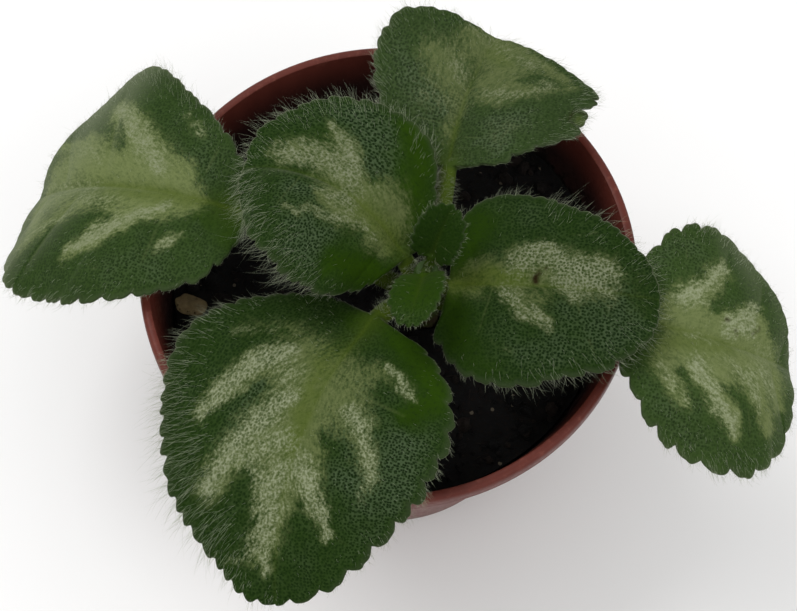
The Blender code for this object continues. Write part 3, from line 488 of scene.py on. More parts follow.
            (0.9, (14.0, 6.7, 0.6), (16.3, 7.8, 0.8), (18.8, 10.4, 1.1), (21.6, 13.1, 1.0),
             (25.7, 15.5, 1.3)),
            (0.8, (29.8, -12.5, 0.6), (27.8, -9.3, 1.0), (26.9, -7.4, 0.8), (26.5, -6.0, 0.5)),
            (0.5, (30.8, -10.4, 1.3), (33.8, -12.9, 1.3)),
            (0.6, (4.0, 7.4, 1.6), (6.6, 9.8, 1.9), (9.4, 12.8, 1.9)),
            (0.9, (20.4, -12.4, 2.6), (15.4, -7.3, 1.6), (21.5, -16.5, 2.6)),
        ],
        "olive": [
            (0.7, (7.9, 0.6, 1.3), (11.3, 1.0, 1.4), (15.0, 1.0, 1.4), (19.6, 1.2, 1.4), (25.1, 0.8, 1.4),
             (29.2, 1.2, 1.6)),
        ],
        "fresh": [
            (0.6, (4.7, -0.3, 1.9), (5.0, 3.2, 1.9), (7.7, 3.2, 1.1)),
            (0.8, (2.1, 5.6, 1.6), (2.2, 2.8, 1.6)),
        ],
        "pits": [
            (0.4, (13.9, -5.7, 2.2), (12.0, -7.9, 1.9), (9.7, -4.1, 1.6)),
            (0.35, (9.5, 12.8, 2.2), (17.1, 14.6, 2.2)),
        ],
    },
    "leaf_outer_right": {
        "silver": [
            (0.9, (8.3, 5.2, 0.8), (10.0, 6.6, 1.0), (11.6, 7.8, 1.1), (13.5, 9.1, 1.1), (14.7, 11.1, 1.1),
             (16.0, 12.7, 1.0), (17.3, 12.8, 0.6)),
            (0.6, (10.1, 4.9, 1.0), (11.7, 5.7, 0.8)),
            (0.4, (13.9, 5.4, 0.6), (15.1, 5.6, 0.5)),
            (0.9, (17.5, 3.8, 1.1), (19.9, 4.9, 1.3), (22.1, 6.7, 1.1), (23.2, 8.2, 0.8)),
            (0.7, (17.3, 1.8, 1.0), (19.1, 2.7, 1.0), (22.1, 3.6, 1.0)),
            (0.6, (10.5, -0.7, 0.6), (12.7, -0.4, 0.6), (13.6, -0.7, 0.6)),
            (0.95, (11.7, -5.1, 1.3), (12.3, -6.6, 1.1), (13.4, -7.6, 1.1), (14.6, -8.9, 1.3),
             (15.6, -10.3, 1.1), (16.7, -11.6, 1.1), (18.0, -12.8, 1.0), (19.3, -14.5, 0.6)),
            (0.7, (21.0, -4.7, 1.3), (21.9, -6.6, 1.0), (23.0, -8.2, 0.8), (23.7, -9.7, 0.6)),
            (0.6, (24.4, -3.6, 1.4), (25.8, -5.3, 1.4)),
            (0.55, (6.3, -7.1, 0.8), (7.3, -8.1, 1.0), (8.4, -9.3, 1.0), (9.5, -10.3, 0.8),
             (10.6, -11.6, 0.8)),
            (0.4, (24.2, 0.8, 1.3), (27.1, 1.4, 1.3)),
            (0.4, (16.6, -3.4, 1.3), (18.4, -4.6, 1.3)),
        ],
        "wash": [
            (0.8, (25.3, 1.2, 1.3), (27.2, -3.6, 1.3), (27.7, -7.3, 1.0)),
            (0.85, (11.9, 2.3, 1.3), (18.6, 1.7, 1.4), (24.2, 0.8, 1.3)),
            (0.85, (14.8, -1.3, 1.1), (16.7, -7.6, 1.0), (19.1, -12.6, 0.8)),
            (0.75, (21.7, -1.8, 1.0), (24.1, -7.9, 0.8), (25.8, -12.3, 0.6)),
            (0.6, (20.5, 6.6, 1.0), (25.2, 4.7, 1.1)),
            (0.85, (7.2, 2.8, 1.6), (10.0, 5.6, 1.8), (13.1, 8.2, 1.6), (16.0, 11.9, 1.4)),
            (0.9, (8.9, -2.9, 2.2), (13.9, -2.4, 2.9), (19.6, -1.6, 2.9), (25.3, -0.6, 2.2)),
            (0.85, (18.4, 4.2, 1.9), (22.1, 5.7, 1.6), (23.6, 3.2, 1.9)),
            (0.9, (11.4, -5.2, 1.8), (13.4, -7.6, 1.8), (15.8, -10.2, 1.6), (18.0, -12.8, 1.3),
             (19.6, -14.8, 0.8)),
            (0.7, (20.4, -4.8, 1.9), (22.5, -7.6, 1.4), (24.2, -9.8, 1.1), (25.8, -11.9, 1.3)),
            (0.7, (6.2, -6.4, 1.4), (8.0, -8.9, 1.4), (10.3, -11.3, 1.3)),
            (0.8, (10.4, 1.1, 2.2), (13.9, 1.2, 1.9)),
            (0.5, (25.9, -4.8, 2.2), (27.2, -6.9, 1.6)),
        ],
        "dark": [
            (0.95, (21.4, 10.1, 1.9), (18.4, 8.1, 1.9), (15.8, 6.4, 1.0), (14.0, 4.2, 0.6)),
            (0.6, (28.2, 7.1, 1.0), (27.1, 4.4, 1.0)),
            (0.95, (9.2, -7.3, 0.6), (10.6, -8.7, 0.8), (12.0, -10.4, 1.1), (13.9, -13.1, 1.6),
             (16.2, -15.7, 1.9)),
            (0.9, (16.2, -7.7, 0.6), (18.1, -8.3, 1.0), (20.1, -9.8, 1.1), (21.9, -11.8, 1.3)),
        ],
        "olive": [(0.6, (4.9, -3.8, 1.6), (8.8, -2.1, 1.4), (13.0, -1.8, 1.6), (17.7, -0.9, 1.0))],
        "fresh": [(0.4, (4.3, -5.2, 1.6), (5.2, -7.1, 1.3))],
        "pits": [
            (0.35, (5.3, 13.1, 2.6), (9.8, 14.3, 2.2)),
            (0.35, (5.1, -12.7, 1.9), (11.9, -16.0, 2.2)),
        ],
        "scar": [
            (0.8, (15.8, 3.2, 0.2), (17.3, 3.8, 0.2)),
            (0.7, (18.6, 2.1, 0.2), (19.2, 1.8, 0.2)),
            (0.5, (22.4, 3.3, 0.3), (23.6, 4.4, 0.3)),
        ],
    },
}

# Kinds of stroke that a blade's material reads
MARKING_KINDS = ("silver", "wash", "dark", "olive", "fresh", "pits", "scar")

# How far strokes spread, as a share of their radius: most kinds, some kinds, and the silver's soft halo
PLAIN_SPREAD = 1.2
SPREAD = {"silver": 1.45, "wash": 1.6, "pits": 1.5}
HALO_SPREAD = 2.1


class PotSettings(bpy.types.PropertyGroup):
    """Sizes and colours of the growing pot."""

    sides: IntProperty(name="Sides", description="Faces around the pot", default=160, min=32)
    bevel: FloatProperty(
        name="Edge", description="Rounding of its edges", default=0.00018, unit="LENGTH"
    )
    colour: FloatVectorProperty(
        name="Plastic", description="Colour of the plastic", subtype="COLOR", default=(0.112, 0.026, 0.018)
    )
    worn: FloatVectorProperty(
        name="Scuffs", description="Colour of rubbed edges", subtype="COLOR", default=(0.18, 0.055, 0.038)
    )


class SoilSettings(bpy.types.PropertyGroup):
    """Sizes and colours of the potting soil."""

    rings: IntProperty(name="Rings", description="Rings of faces on top", default=40, min=8)
    sides: IntProperty(name="Sides", description="Faces around the soil", default=180, min=32)
    crumbs: IntProperty(name="Crumbs", description="Loose crumbs on top", default=900, min=0)
    lumps: IntProperty(name="Lumps", description="Larger lumps on top", default=110, min=0)
    fibres: IntProperty(name="Fibres", description="Loose fibres on top", default=70, min=0)
    # Soil colour: dark moist soil, made near black as painted shade for the soil lying sunk in the pot
    colour: FloatVectorProperty(
        name="Soil", description="Colour of moist soil", subtype="COLOR", default=(0.0035, 0.0034, 0.0034)
    )
    brown: FloatVectorProperty(
        name="Bark", description="Colour of bark in the soil", subtype="COLOR", default=(0.017, 0.011, 0.008)
    )
    stone: FloatVectorProperty(
        name="Pumice", description="Colour of the pumice grain", subtype="COLOR", default=(0.34, 0.25, 0.12)
    )


class LeafSettings(bpy.types.PropertyGroup):
    """Fineness and colours of the leaves."""

    rows: IntProperty(name="Rows", description="Rows of faces along a blade", default=170, min=20)
    columns: IntProperty(
        name="Columns", description="Faces from midrib to margin above", default=30, min=6
    )
    under: IntProperty(
        name="Columns below", description="Faces from midrib to margin below", default=9, min=3
    )
    net_size: FloatProperty(
        name="Net size", description="Width of a mesh of the surface's net", default=0.00052, precision=5,
        unit="LENGTH",
    )
    dark: FloatVectorProperty(
        name="Pits", description="Colour of the pits", subtype="COLOR", default=(0.004, 0.012, 0.002)
    )
    green: FloatVectorProperty(
        name="Dark green", description="Colour of the inner blades", subtype="COLOR",
        default=(0.009, 0.027, 0.002),
    )
    light: FloatVectorProperty(
        name="Light green", description="Colour of the outer blades", subtype="COLOR",
        default=(0.028, 0.06, 0.009),
    )
    ridge: FloatVectorProperty(
        name="Net", description="Colour of the raised net", subtype="COLOR", default=(0.06, 0.09, 0.042)
    )
    lace: FloatVectorProperty(
        name="Faint net", description="Colour of the net where it is faint", subtype="COLOR",
        default=(0.034, 0.062, 0.013),
    )
    fresh: FloatVectorProperty(
        name="Fresh green", description="Colour near the base", subtype="COLOR", default=(0.019, 0.047, 0.001)
    )
    wash: FloatVectorProperty(
        name="Wash", description="Colour around the feathers", subtype="COLOR", default=(0.14, 0.172, 0.062)
    )
    silver: FloatVectorProperty(
        name="Silver", description="Colour of the feathers", subtype="COLOR", default=(0.3, 0.33, 0.21)
    )
    rib: FloatVectorProperty(
        name="Midrib", description="Colour of midrib and stalk", subtype="COLOR",
        default=(0.062, 0.092, 0.009),
    )


class HairSettings(bpy.types.PropertyGroup):
    """Sizes and colour of the hairs."""

    pitch: FloatProperty(
        name="Pitch", description="Space between margin hairs", default=0.0004, unit="LENGTH"
    )
    length: FloatProperty(
        name="Length", description="Length at the margin", default=0.0032, unit="LENGTH"
    )
    short: FloatProperty(
        name="Short", description="Length inside the blade", default=0.0008, unit="LENGTH"
    )
    radius: FloatProperty(
        name="Radius", description="Radius at a hair's root", default=0.00002, precision=6, unit="LENGTH"
    )
    density: FloatProperty(name="Density", description="Hairs on a square millimetre", default=2.4)
    colour: FloatVectorProperty(
        name="Hair", description="Colour of the hairs", subtype="COLOR", default=(0.31, 0.35, 0.23)
    )


class StageSettings(bpy.types.PropertyGroup):
    """Floor, light and camera."""

    floor: FloatVectorProperty(
        name="Floor", description="Colour of the floor", subtype="COLOR", default=(0.92, 0.92, 0.915)
    )
    sky: FloatProperty(name="Sky", description="Strength of the even light", default=0.78)
    key: FloatProperty(
        name="Key", description="Power of the large soft light", default=2.9, unit="POWER"
    )
    lens: FloatProperty(name="Lens", description="Focal length", default=90.34)
    tilt: FloatProperty(
        name="Tilt", description="Camera's height above the horizon", default=math.radians(67.5),
        subtype="ANGLE",
    )


class PrimulinaSettings(bpy.types.PropertyGroup):
    """All the settings of the potted plant."""

    pot: PointerProperty(type=PotSettings)
    soil: PointerProperty(type=SoilSettings)
    leaf: PointerProperty(type=LeafSettings)
    hair: PointerProperty(type=HairSettings)
    stage: PointerProperty(type=StageSettings)


# Modelling helpers


def clear_selection():
    if bpy.context.object and bpy.context.object.mode != "OBJECT":
        bpy.ops.object.mode_set(mode="OBJECT")
    for item in bpy.context.selected_objects:
        item.select_set(False)


def pick(*items):
    clear_selection()
    for item in items:
        item.select_set(True)
    bpy.context.view_layer.objects.active = items[0]


def settle(item, name):
    """Names a piece and moves its place into its mesh."""
    item.name = name
    item.data.name = name
    pick(item)
    bpy.ops.object.transform_apply(location=True, rotation=True, scale=True)
    return item


def apply_modifiers(item):
    pick(item)
    for change in list(item.modifiers):
        bpy.ops.object.modifier_apply(modifier=change.name)


def smooth(item, angle):
    pick(item)
    bpy.ops.object.shade_smooth_by_angle(angle=math.radians(angle))


def piece_from(name, points, faces, values=None):
    """A mesh piece from points in millimetres, with named values at its points."""
    mesh = bpy.data.meshes.new(name)
    mesh.from_pydata(np.asarray(points, float) * MM, [], faces)
    for key, value in (values or {}).items():
        value = np.asarray(value, np.float32)
        kind, field = ("FLOAT", "value") if value.ndim == 1 else ("FLOAT_VECTOR", "vector")
        layer = mesh.attributes.new(key, kind, "POINT")
        layer.data.foreach_set(field, value.ravel())
    item = bpy.data.objects.new(name, mesh)
    bpy.context.scene.collection.objects.link(item)
    return item


def raise_rings(rings, sides, centre=(0.0, 0.0)):
    """A round solid: a disc that is extruded and resized from ring to ring of radius and height."""
    radius, z = rings[0]
    x, y = (c * MM for c in centre)
    clear_selection()
    bpy.ops.mesh.primitive_circle_add(
        vertices=sides, radius=radius * MM, fill_type="NGON", location=(x, y, z * MM)
    )
    item = bpy.context.object
    bpy.ops.object.mode_set(mode="EDIT")
    bpy.ops.mesh.select_mode(type="FACE")
    bpy.ops.mesh.select_all(action="SELECT")
    for wide, high in rings[1:]:
        rise = {"value": (0.0, 0.0, (high - z) * MM)}
        bpy.ops.mesh.extrude_region_move(TRANSFORM_OT_translate=rise)
        share = wide / radius
        bpy.ops.transform.resize(value=(share, share, 1.0), center_override=(x, y, high * MM))
        radius, z = wide, high
    bpy.ops.mesh.select_all(action="SELECT")
    bpy.ops.mesh.normals_make_consistent(inside=False)
    bpy.ops.object.mode_set(mode="OBJECT")
    return item


def cut_out(item, cutter):
    """Takes the cutter's shape out of a piece."""
    change = item.modifiers.new("cut", "BOOLEAN")
    change.operation = "DIFFERENCE"
    change.solver = "EXACT"
    change.object = cutter
    apply_modifiers(item)
    bpy.data.objects.remove(cutter)


def finish_piece(item, finish, replaced=None):
    item.data.materials.clear()
    item.data.materials.append(finish)
    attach(item, "root")
    if replaced:
        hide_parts(replaced)
    return item


def hair_piece(name, hairs, settings):
    """A piece of hair tubes, all of one shared finish."""
    item = piece_from(name, *hairs)
    item.data.shade_smooth()
    return finish_piece(item, bpy.data.materials.get("leaf_hair") or hair_finish(settings))


def smoothstep(x):
    x = np.clip(x, 0.0, 1.0)
    return x * x * (3.0 - 2.0 * x)


def eased(u, values):
    """A value that runs smoothly through even stations from base to tip."""
    place = np.clip(u, 0.0, 1.0) * (len(values) - 1)
    i = np.minimum(place.astype(int), len(values) - 2)
    values = np.asarray(values)
    return values[i] + (values[i + 1] - values[i]) * smoothstep(place - i)


def unit(v):
    return v / np.maximum(np.linalg.norm(v, axis=-1), 1e-9)[..., None]


# Material helpers


def toned(colour, share):
    """The colour, darker or lighter."""
    return tuple(share * c for c in colour)


class Shades:
    """Writes nodes into one tree and keeps the calls short."""

    def __init__(self, tree):
        self.tree = tree

    def feed(self, socket, value):
        if isinstance(value, bpy.types.NodeSocket):
            self.tree.links.new(value, socket)
        elif value is not None:
            if socket.type == "RGBA" and len(value) == 3:
                value = (*value, 1.0)
            socket.default_value = value

    def node(self, kind, inputs=None, **settings):
        made = self.tree.nodes.new(kind)
        for key, value in settings.items():
            setattr(made, key, value)
        for key, value in (inputs or {}).items():
            self.feed(made.inputs[key], value)
        return made

    def value_of(self, name):
        return self.node("ShaderNodeAttribute", attribute_name=name).outputs["Fac"]

    def vector_of(self, name):
        return self.node("ShaderNodeAttribute", attribute_name=name).outputs["Vector"]

    def noise(self, place, scale, detail=3.0, roughness=0.5):
        inputs = {"Vector": place, "Scale": scale, "Detail": detail, "Roughness": roughness}
        return self.node("ShaderNodeTexNoise", inputs).outputs["Fac"]

    def cells(self, place, scale, **settings):
        return self.node("ShaderNodeTexVoronoi", {"Vector": place, "Scale": scale}, **settings)

    def chance(self, cells):
        """A random number for each cell, from its colour."""
        return self.node("ShaderNodeSeparateColor", {"Color": cells.outputs["Color"]}).outputs[0]

    def stretch(self, place, scale):
        return self.node("ShaderNodeMapping", {"Vector": place, "Scale": scale}).outputs["Vector"]

    def parts(self, place):
        return self.node("ShaderNodeSeparateXYZ", {"Vector": place}).outputs

    def calc(self, kind, a, b):
        return self.node("ShaderNodeMath", {0: a, 1: b}, operation=kind).outputs[0]

    def times(self, a, b):
        return self.calc("MULTIPLY", a, b)

    def plus(self, a, b):
        return self.calc("ADD", a, b)

    def swing(self, value, size):
        """A value around one half as a swing around nothing."""
        return self.times(self.calc("SUBTRACT", value, 0.5), size)

    def ramp(self, value, low, high, to_low=0.0, to_high=1.0):
        inputs = {"Value": value, "From Min": low, "From Max": high, "To Min": to_low, "To Max": to_high}
        return self.node("ShaderNodeMapRange", inputs, interpolation_type="SMOOTHSTEP").outputs["Result"]

    def mix(self, share, a, b, how="MIX"):
        inputs = {0: share, 6: a, 7: b}
        return self.node("ShaderNodeMix", inputs, data_type="RGBA", blend_type=how).outputs[2]

    def blend(self, share, a, b):
        return self.node("ShaderNodeMix", {0: share, 2: a, 3: b}, data_type="FLOAT").outputs[0]

    def bump(self, height, strength, distance):
        inputs = {"Height": height, "Strength": strength, "Distance": distance}
        return self.node("ShaderNodeBump", inputs).outputs["Normal"]

    def group(self, name, inputs):
        """A shared node group, built the first time that it is asked for."""
        made = self.node("ShaderNodeGroup", node_tree=bpy.data.node_groups.get(name) or GROUPS[name](name))
        for key, value in inputs.items():
            self.feed(made.inputs[key], value)
        return made.outputs

    def mottle(self, place, patch_scale, grain_scale):
        found = self.group("Mottle", {"Place": place, "Patch Scale": patch_scale, "Grain Scale": grain_scale})
        return found["Patch"], found["Grain"]

    def specks(self, place, scale, share, size):
        return self.group("Specks", {"Place": place, "Scale": scale, "Share": share, "Size": size})["Mask"]


def new_group(name, inputs, outputs):
    """An empty node group. Its inputs are floats with a default, or vectors, which have none."""
    tree = bpy.data.node_groups.new(name, "ShaderNodeTree")
    for key, default in inputs.items():
        kind = "NodeSocketVector" if default is None else "NodeSocketFloat"
        socket = tree.interface.new_socket(key, in_out="INPUT", socket_type=kind)
        if default is not None:
            socket.default_value = default
    for key in outputs:
        tree.interface.new_socket(key, in_out="OUTPUT", socket_type="NodeSocketFloat")
    s = Shades(tree)
    return tree, s, s.node("NodeGroupInput").outputs, s.node("NodeGroupOutput").inputs


def mottle_group(name):
    """Soft change of shade and a fine grain, as any grown or moulded surface has."""
    inputs = {"Place": None, "Patch Scale": 60.0, "Grain Scale": 900.0}
    tree, s, given, out = new_group(name, inputs, ("Patch", "Grain"))
    s.feed(out["Patch"], s.ramp(s.noise(given["Place"], given["Patch Scale"], 4.0, 0.55), 0.3, 0.7))
    s.feed(out["Grain"], s.noise(given["Place"], given["Grain Scale"], 5.0, 0.65))
    return tree


def speck_group(name):
    """Rare small round specks, as dust, grit or pores leave."""
    inputs = {"Place": None, "Scale": 400.0, "Share": 0.02, "Size": 0.15}
    tree, s, given, out = new_group(name, inputs, ("Mask",))
    cells = s.cells(given["Place"], given["Scale"])
    rare = s.calc("LESS_THAN", s.chance(cells), given["Share"])
    near = s.calc("LESS_THAN", cells.outputs["Distance"], given["Size"])
    s.feed(out["Mask"], s.times(rare, near))
    return tree


def net_group(name):
    """The raised net of a velvety leaf, with a dark pit in each mesh."""
    tree, s, given, out = new_group(name, {"Place": None, "Scale": 2.2}, ("Ridge", "Height", "Depth"))
    drift = s.node("ShaderNodeTexNoise", {"Vector": given["Place"], "Scale": 0.5, "Detail": 1.0})
    drift = s.node("ShaderNodeVectorMath", {0: drift.outputs["Color"], "Scale": 0.6}, operation="SCALE")
    place = s.node("ShaderNodeVectorMath", {0: given["Place"], 1: drift.outputs[0]}).outputs[0]
    cells = s.cells(place, given["Scale"], voronoi_dimensions="2D")
    cells.inputs["Randomness"].default_value = 0.75
    distance = cells.outputs["Distance"]
    s.feed(out["Depth"], s.ramp(s.chance(cells), 0.0, 0.8, 0.45, 1.0))
    s.feed(out["Ridge"], s.ramp(distance, 0.22, 0.48))
    s.feed(out["Height"], s.ramp(distance, 0.05, 0.6))
    return tree


GROUPS = {"Mottle": mottle_group, "Specks": speck_group, "Leaf net": net_group}


def new_finish(name, roughness, specular=0.5):
    """A material with its nodes' writer, its shader and the object's own coordinates."""
    made = bpy.data.materials.new(name)
    made.use_nodes = True
    s = Shades(made.node_tree)
    shader = made.node_tree.nodes["Principled BSDF"]
    shader.inputs["Roughness"].default_value = roughness
    shader.inputs["Specular IOR Level"].default_value = specular
    return made, s, shader.inputs, s.node("ShaderNodeTexCoord").outputs["Object"]


def pot_finish(settings):
    made, s, shader, place = new_finish("growing_pot_plastic", 0.42, 0.14)
    patch, grain = s.mottle(place, 55.0, 1400.0)
    streak = s.noise(s.stretch(place, (1.0, 1.0, 0.12)), 420.0, 3.0)
    colour = s.mix(s.ramp(streak, 0.3, 0.75), toned(settings.colour, 0.85), settings.colour)
    colour = s.mix(s.times(patch, 0.35), colour, toned(settings.colour, 1.2))
    # Rubbed lip
    x, y, height = s.parts(place)
    lip = s.ramp(height, (POT_HEIGHT - 1.4) * MM, (POT_HEIGHT - 0.1) * MM)
    scuff = s.ramp(s.noise(place, 700.0, 6.0, 0.7), 0.5, 0.72)
    colour = s.mix(s.times(s.times(lip, scuff), 0.7), colour, settings.worn)
    # Inner wall: painted shade that darkens it with depth below the lip, and soiled above the soil
    across = s.node("ShaderNodeCombineXYZ", {"X": x, "Y": y}).outputs[0]
    reach = s.node("ShaderNodeVectorMath", {0: across}, operation="LENGTH").outputs["Value"]
    taper = (RIM_RADIUS - LIP_STEP - FOOT_RADIUS) / POT_HEIGHT
    wall = s.calc("SUBTRACT", reach, s.times(height, taper))
    inside = s.calc("LESS_THAN", wall, (FOOT_RADIUS - 0.5 * WALL) * MM)
    low = s.ramp(height, (SOIL_TOP + 6.0) * MM, (SOIL_TOP - 1.0) * MM)
    smear = s.ramp(s.noise(place, 260.0, 5.0, 0.65), 0.42, 0.6)
    soiled = s.times(inside, s.times(low, smear))
    grit = s.specks(place, 620.0, 0.3, 0.28)
    soiled = s.calc("MAXIMUM", soiled, s.times(inside, s.times(grit, low)))
    # Painted shade on the inner wall, reaching its full strength 8 mm below the top
    shade = s.ramp(height, (POT_HEIGHT - 0.5) * MM, (POT_HEIGHT - 8.0) * MM, 0.0, 0.82)
    colour = s.mix(s.times(inside, shade), colour, PAINTED_WALL_SHADE)
    s.feed(shader["Base Color"], s.mix(soiled, colour, WALL_SOIL))
    s.feed(shader["Roughness"], s.blend(soiled, s.ramp(grain, 0.3, 0.7, 0.34, 0.5), 0.9))
    s.feed(shader["Normal"], s.bump(s.plus(grain, soiled), 0.25, 0.0001))
    return made


def soil_finish(settings, name="potting_soil", loose=False):
    made, s, shader, place = new_finish(name, 0.95, 0.25)
    patch, grain = s.mottle(place, 300.0, 1800.0)
    tone = s.value_of("tone") if loose else s.ramp(grain, 0.45, 0.75)
    # The soil colour is near black: dark moist soil and painted shade of the sunk soil together
    colour = s.mix(tone, settings.colour, settings.brown)
    colour = s.mix(s.times(patch, 0.5), colour, toned(settings.colour, 0.4))
    s.feed(shader["Base Color"], s.mix(s.specks(place, 900.0, 0.03, 0.3), colour, GRIT))
    s.feed(shader["Roughness"], s.ramp(grain, 0.3, 0.7, 0.8, 1.0))
    s.feed(shader["Normal"], s.bump(grain, 0.8, 0.0003))
    return made


def pumice_finish(settings):
    made, s, shader, place = new_finish("pumice_stone", 0.9, 0.3)
    patch, grain = s.mottle(place, 420.0, 2500.0)
    colour = s.mix(patch, toned(settings.stone, 0.55), settings.stone)
    # Pores: dents in the bump, painted dark as painted shade inside them
    pores = s.ramp(s.cells(place, 1500.0).outputs["Distance"], 0.32, 0.12)
    pores = s.times(pores, s.ramp(grain, 0.4, 0.55))
    s.feed(shader["Base Color"], s.mix(pores, colour, PORE_SHADE))
    s.feed(shader["Roughness"], s.ramp(grain, 0.3, 0.7, 0.8, 1.0))
    s.feed(shader["Normal"], s.bump(s.calc("SUBTRACT", grain, pores), 0.8, 0.0003))
    return made


def stem_finish(settings):
    made, s, shader, place = new_finish("stem_skin", 0.65, 0.35)
    patch, grain = s.mottle(place, 350.0, 2200.0)
    colour = s.mix(patch, STEM_BARK, toned(settings.rib, 0.7))
    colour = s.mix(s.times(s.value_of("scar"), 0.8), colour, STEM_SCAR)
    top = s.ramp(s.parts(place)["Z"], STEM_GREEN[0] * MM, STEM_GREEN[1] * MM)
    s.feed(shader["Base Color"], s.mix(top, colour, settings.fresh))
    s.feed(shader["Roughness"], s.ramp(grain, 0.3, 0.7, 0.55, 0.8))
    s.feed(shader["Normal"], s.bump(grain, 0.5, 0.0002))
    return made


def leaf_finish(settings):
    made, s, shader, _ = new_finish("velvet_leaf", 0.7, 0.03)
    plan, lay = s.vector_of("plan"), s.vector_of("lay")
    rib, fresh, glow = s.value_of("rib"), s.value_of("fresh"), s.value_of("glow")
    patch, grain = s.mottle(plan, 0.16, 1.6)
    net = s.group("Leaf net", {"Place": plan, "Scale": MM / settings.net_size})
    ridge = net["Ridge"]
    pit = s.times(s.calc("SUBTRACT", 1.0, ridge), net["Depth"])
    # Green, with a lighter net and dark pits where the blade is pitted
    pitted = s.plus(s.value_of("pitted"), s.swing(s.noise(plan, 0.3, 3.0), 0.7))
    pitted = s.times(s.ramp(pitted, 0.0, 1.0, 0.12, 1.0), s.ramp(fresh, 0.0, 1.0, 1.0, 0.0))
    nap = s.ramp(s.noise(s.stretch(lay, (0.9, 5.5, 1.5)), 1.0, 3.0, 0.6), 0.4, 0.75)
    body = s.mix(s.value_of("light"), settings.green, settings.light)
    body = s.mix(s.times(patch, 0.35), body, settings.dark)
    raised = s.times(s.times(ridge, pitted), s.ramp(grain, 0.3, 0.62, 0.45, 1.0))
    lace = s.mix(s.times(pitted, pitted), settings.lace, settings.ridge)
    body = s.mix(s.times(raised, 0.9), body, lace)
    body = s.mix(s.times(pit, pitted), body, settings.dark)
    lush = s.mix(patch, toned(settings.fresh, 0.8), toned(settings.fresh, 1.15))
    body = s.mix(fresh, body, lush)
    body = s.mix(s.times(nap, s.ramp(fresh, 0.0, 1.0, 0.35, 0.1)), body, lace)
    body = s.mix(s.ramp(grain, 0.5, 0.3, 0.0, 0.5), body, settings.dark)
    body = s.mix(s.value_of("deep"), body, settings.dark)
    # Side veins and the pale margin
    phase = s.calc("PINGPONG", s.value_of("phase"), 1.0)
    vein = s.times(s.ramp(phase, 0.05, 0.0), s.value_of("inner"))
    body = s.mix(s.times(vein, s.ramp(patch, 0.3, 0.7, 0.0, 0.14)), body, settings.wash)
    body = s.mix(s.times(s.value_of("edge"), 0.35), body, LEAF_EDGE)
    # Olive wash, broken up along the veins
    comb = s.noise(s.stretch(lay, (0.22, 1.7, 1.2)), 1.0, 4.0, 0.6)
    fine = s.noise(plan, 2.2, 5.0, 0.75)
    ragged = s.plus(s.swing(comb, 1.9), s.swing(fine, 2.6))
    wash = s.value_of("wash")
    wash = s.plus(wash, s.times(s.times(ragged, 0.55), s.ramp(wash, 0.0, 0.35)))
    wash = s.ramp(wash, 0.05, 0.95)
    olive = s.mix(glow, toned(settings.wash, 0.6), settings.wash)
    broken = s.ramp(glow, 0.0, 1.0, 1.0, 0.45)
    olive = s.mix(s.times(s.ramp(comb, 0.6, 0.36, 0.0, 0.42), broken), olive, settings.lace)
    olive = s.mix(s.times(s.ramp(fine, 0.52, 0.34, 0.0, 0.35), broken), olive, settings.lace)
    olive = s.mix(s.times(s.value_of("olive"), 0.85), olive, settings.rib)
    body = s.mix(s.times(wash, 0.96), body, olive)
    # Silver feathers, with a few pits showing through
    amount = s.value_of("silver")
    amount = s.plus(amount, s.times(ragged, s.ramp(amount, 0.0, 0.4)))
    amount = s.ramp(amount, 0.15, 1.2)
    granule = s.ramp(s.plus(fine, s.swing(ridge, 0.2)), 0.36, 0.68)
    granule = s.blend(s.times(glow, 0.65), granule, s.ramp(comb, 0.3, 0.7, 0.35, 0.85))
    bright = s.mix(s.value_of("shine"), toned(settings.silver, 0.35), settings.silver)
    colour = s.mix(s.times(amount, 0.95), body, s.mix(granule, olive, bright))
    sparse = s.ramp(s.noise(plan, 0.7, 3.0), 0.4, 0.65, 0.0, 0.3)
    sparse = s.times(pit, s.calc("MAXIMUM", sparse, s.ramp(pitted, 0.6, 1.0, 0.0, 0.65)))
    sparse = s.times(sparse, s.ramp(glow, 0.0, 1.0, 1.0, 0.4))
    colour = s.mix(s.times(sparse, s.calc("MAXIMUM", amount, wash)), colour, settings.green)
    # Painted sheen: a pale haze of the fine hairs where the blade turns away from view, and an even painted
    # sheen of hairs on some blades
    facing = s.node("ShaderNodeLayerWeight", {"Blend": 0.5}).outputs["Facing"]
    grazing_sheen = s.times(s.ramp(facing, 0.3, 0.95, 0.0, 0.75), s.ramp(fresh, 0.0, 1.0, 1.0, 0.3))
    grazing_sheen = s.times(s.times(grazing_sheen, s.value_of("velvet")), s.ramp(fine, 0.3, 0.7, 0.6, 1.0))
    sheen_mist = s.times(s.value_of("sheen_mist"), s.ramp(grain, 0.35, 0.65, 0.4, 1.0))
    colour = s.mix(s.calc("MAXIMUM", grazing_sheen, sheen_mist), colour, PAINTED_HAIR_SHEEN)
    # Midrib and stalk, underside, scars and dust
    ribbed = s.times(rib, 0.8)
    colour = s.mix(ribbed, colour, settings.rib)
    below = s.times(s.value_of("under"), s.calc("SUBTRACT", 1.0, ribbed))
    colour = s.mix(below, colour, s.mix(patch, *LEAF_BELOW))
    colour = s.mix(s.value_of("scar"), colour, LEAF_SCAR)
    s.feed(shader["Base Color"], s.mix(s.specks(plan, 0.35, 0.02, 0.07), colour, DUST))
    s.feed(shader["Roughness"], s.ramp(grain, 0.3, 0.7, 0.6, 0.85))
    height = s.times(net["Height"], s.plus(pitted, 0.2))
    height = s.plus(height, s.times(grain, 0.4))
    s.feed(shader["Normal"], s.bump(height, 0.6, 0.00012))
    return made


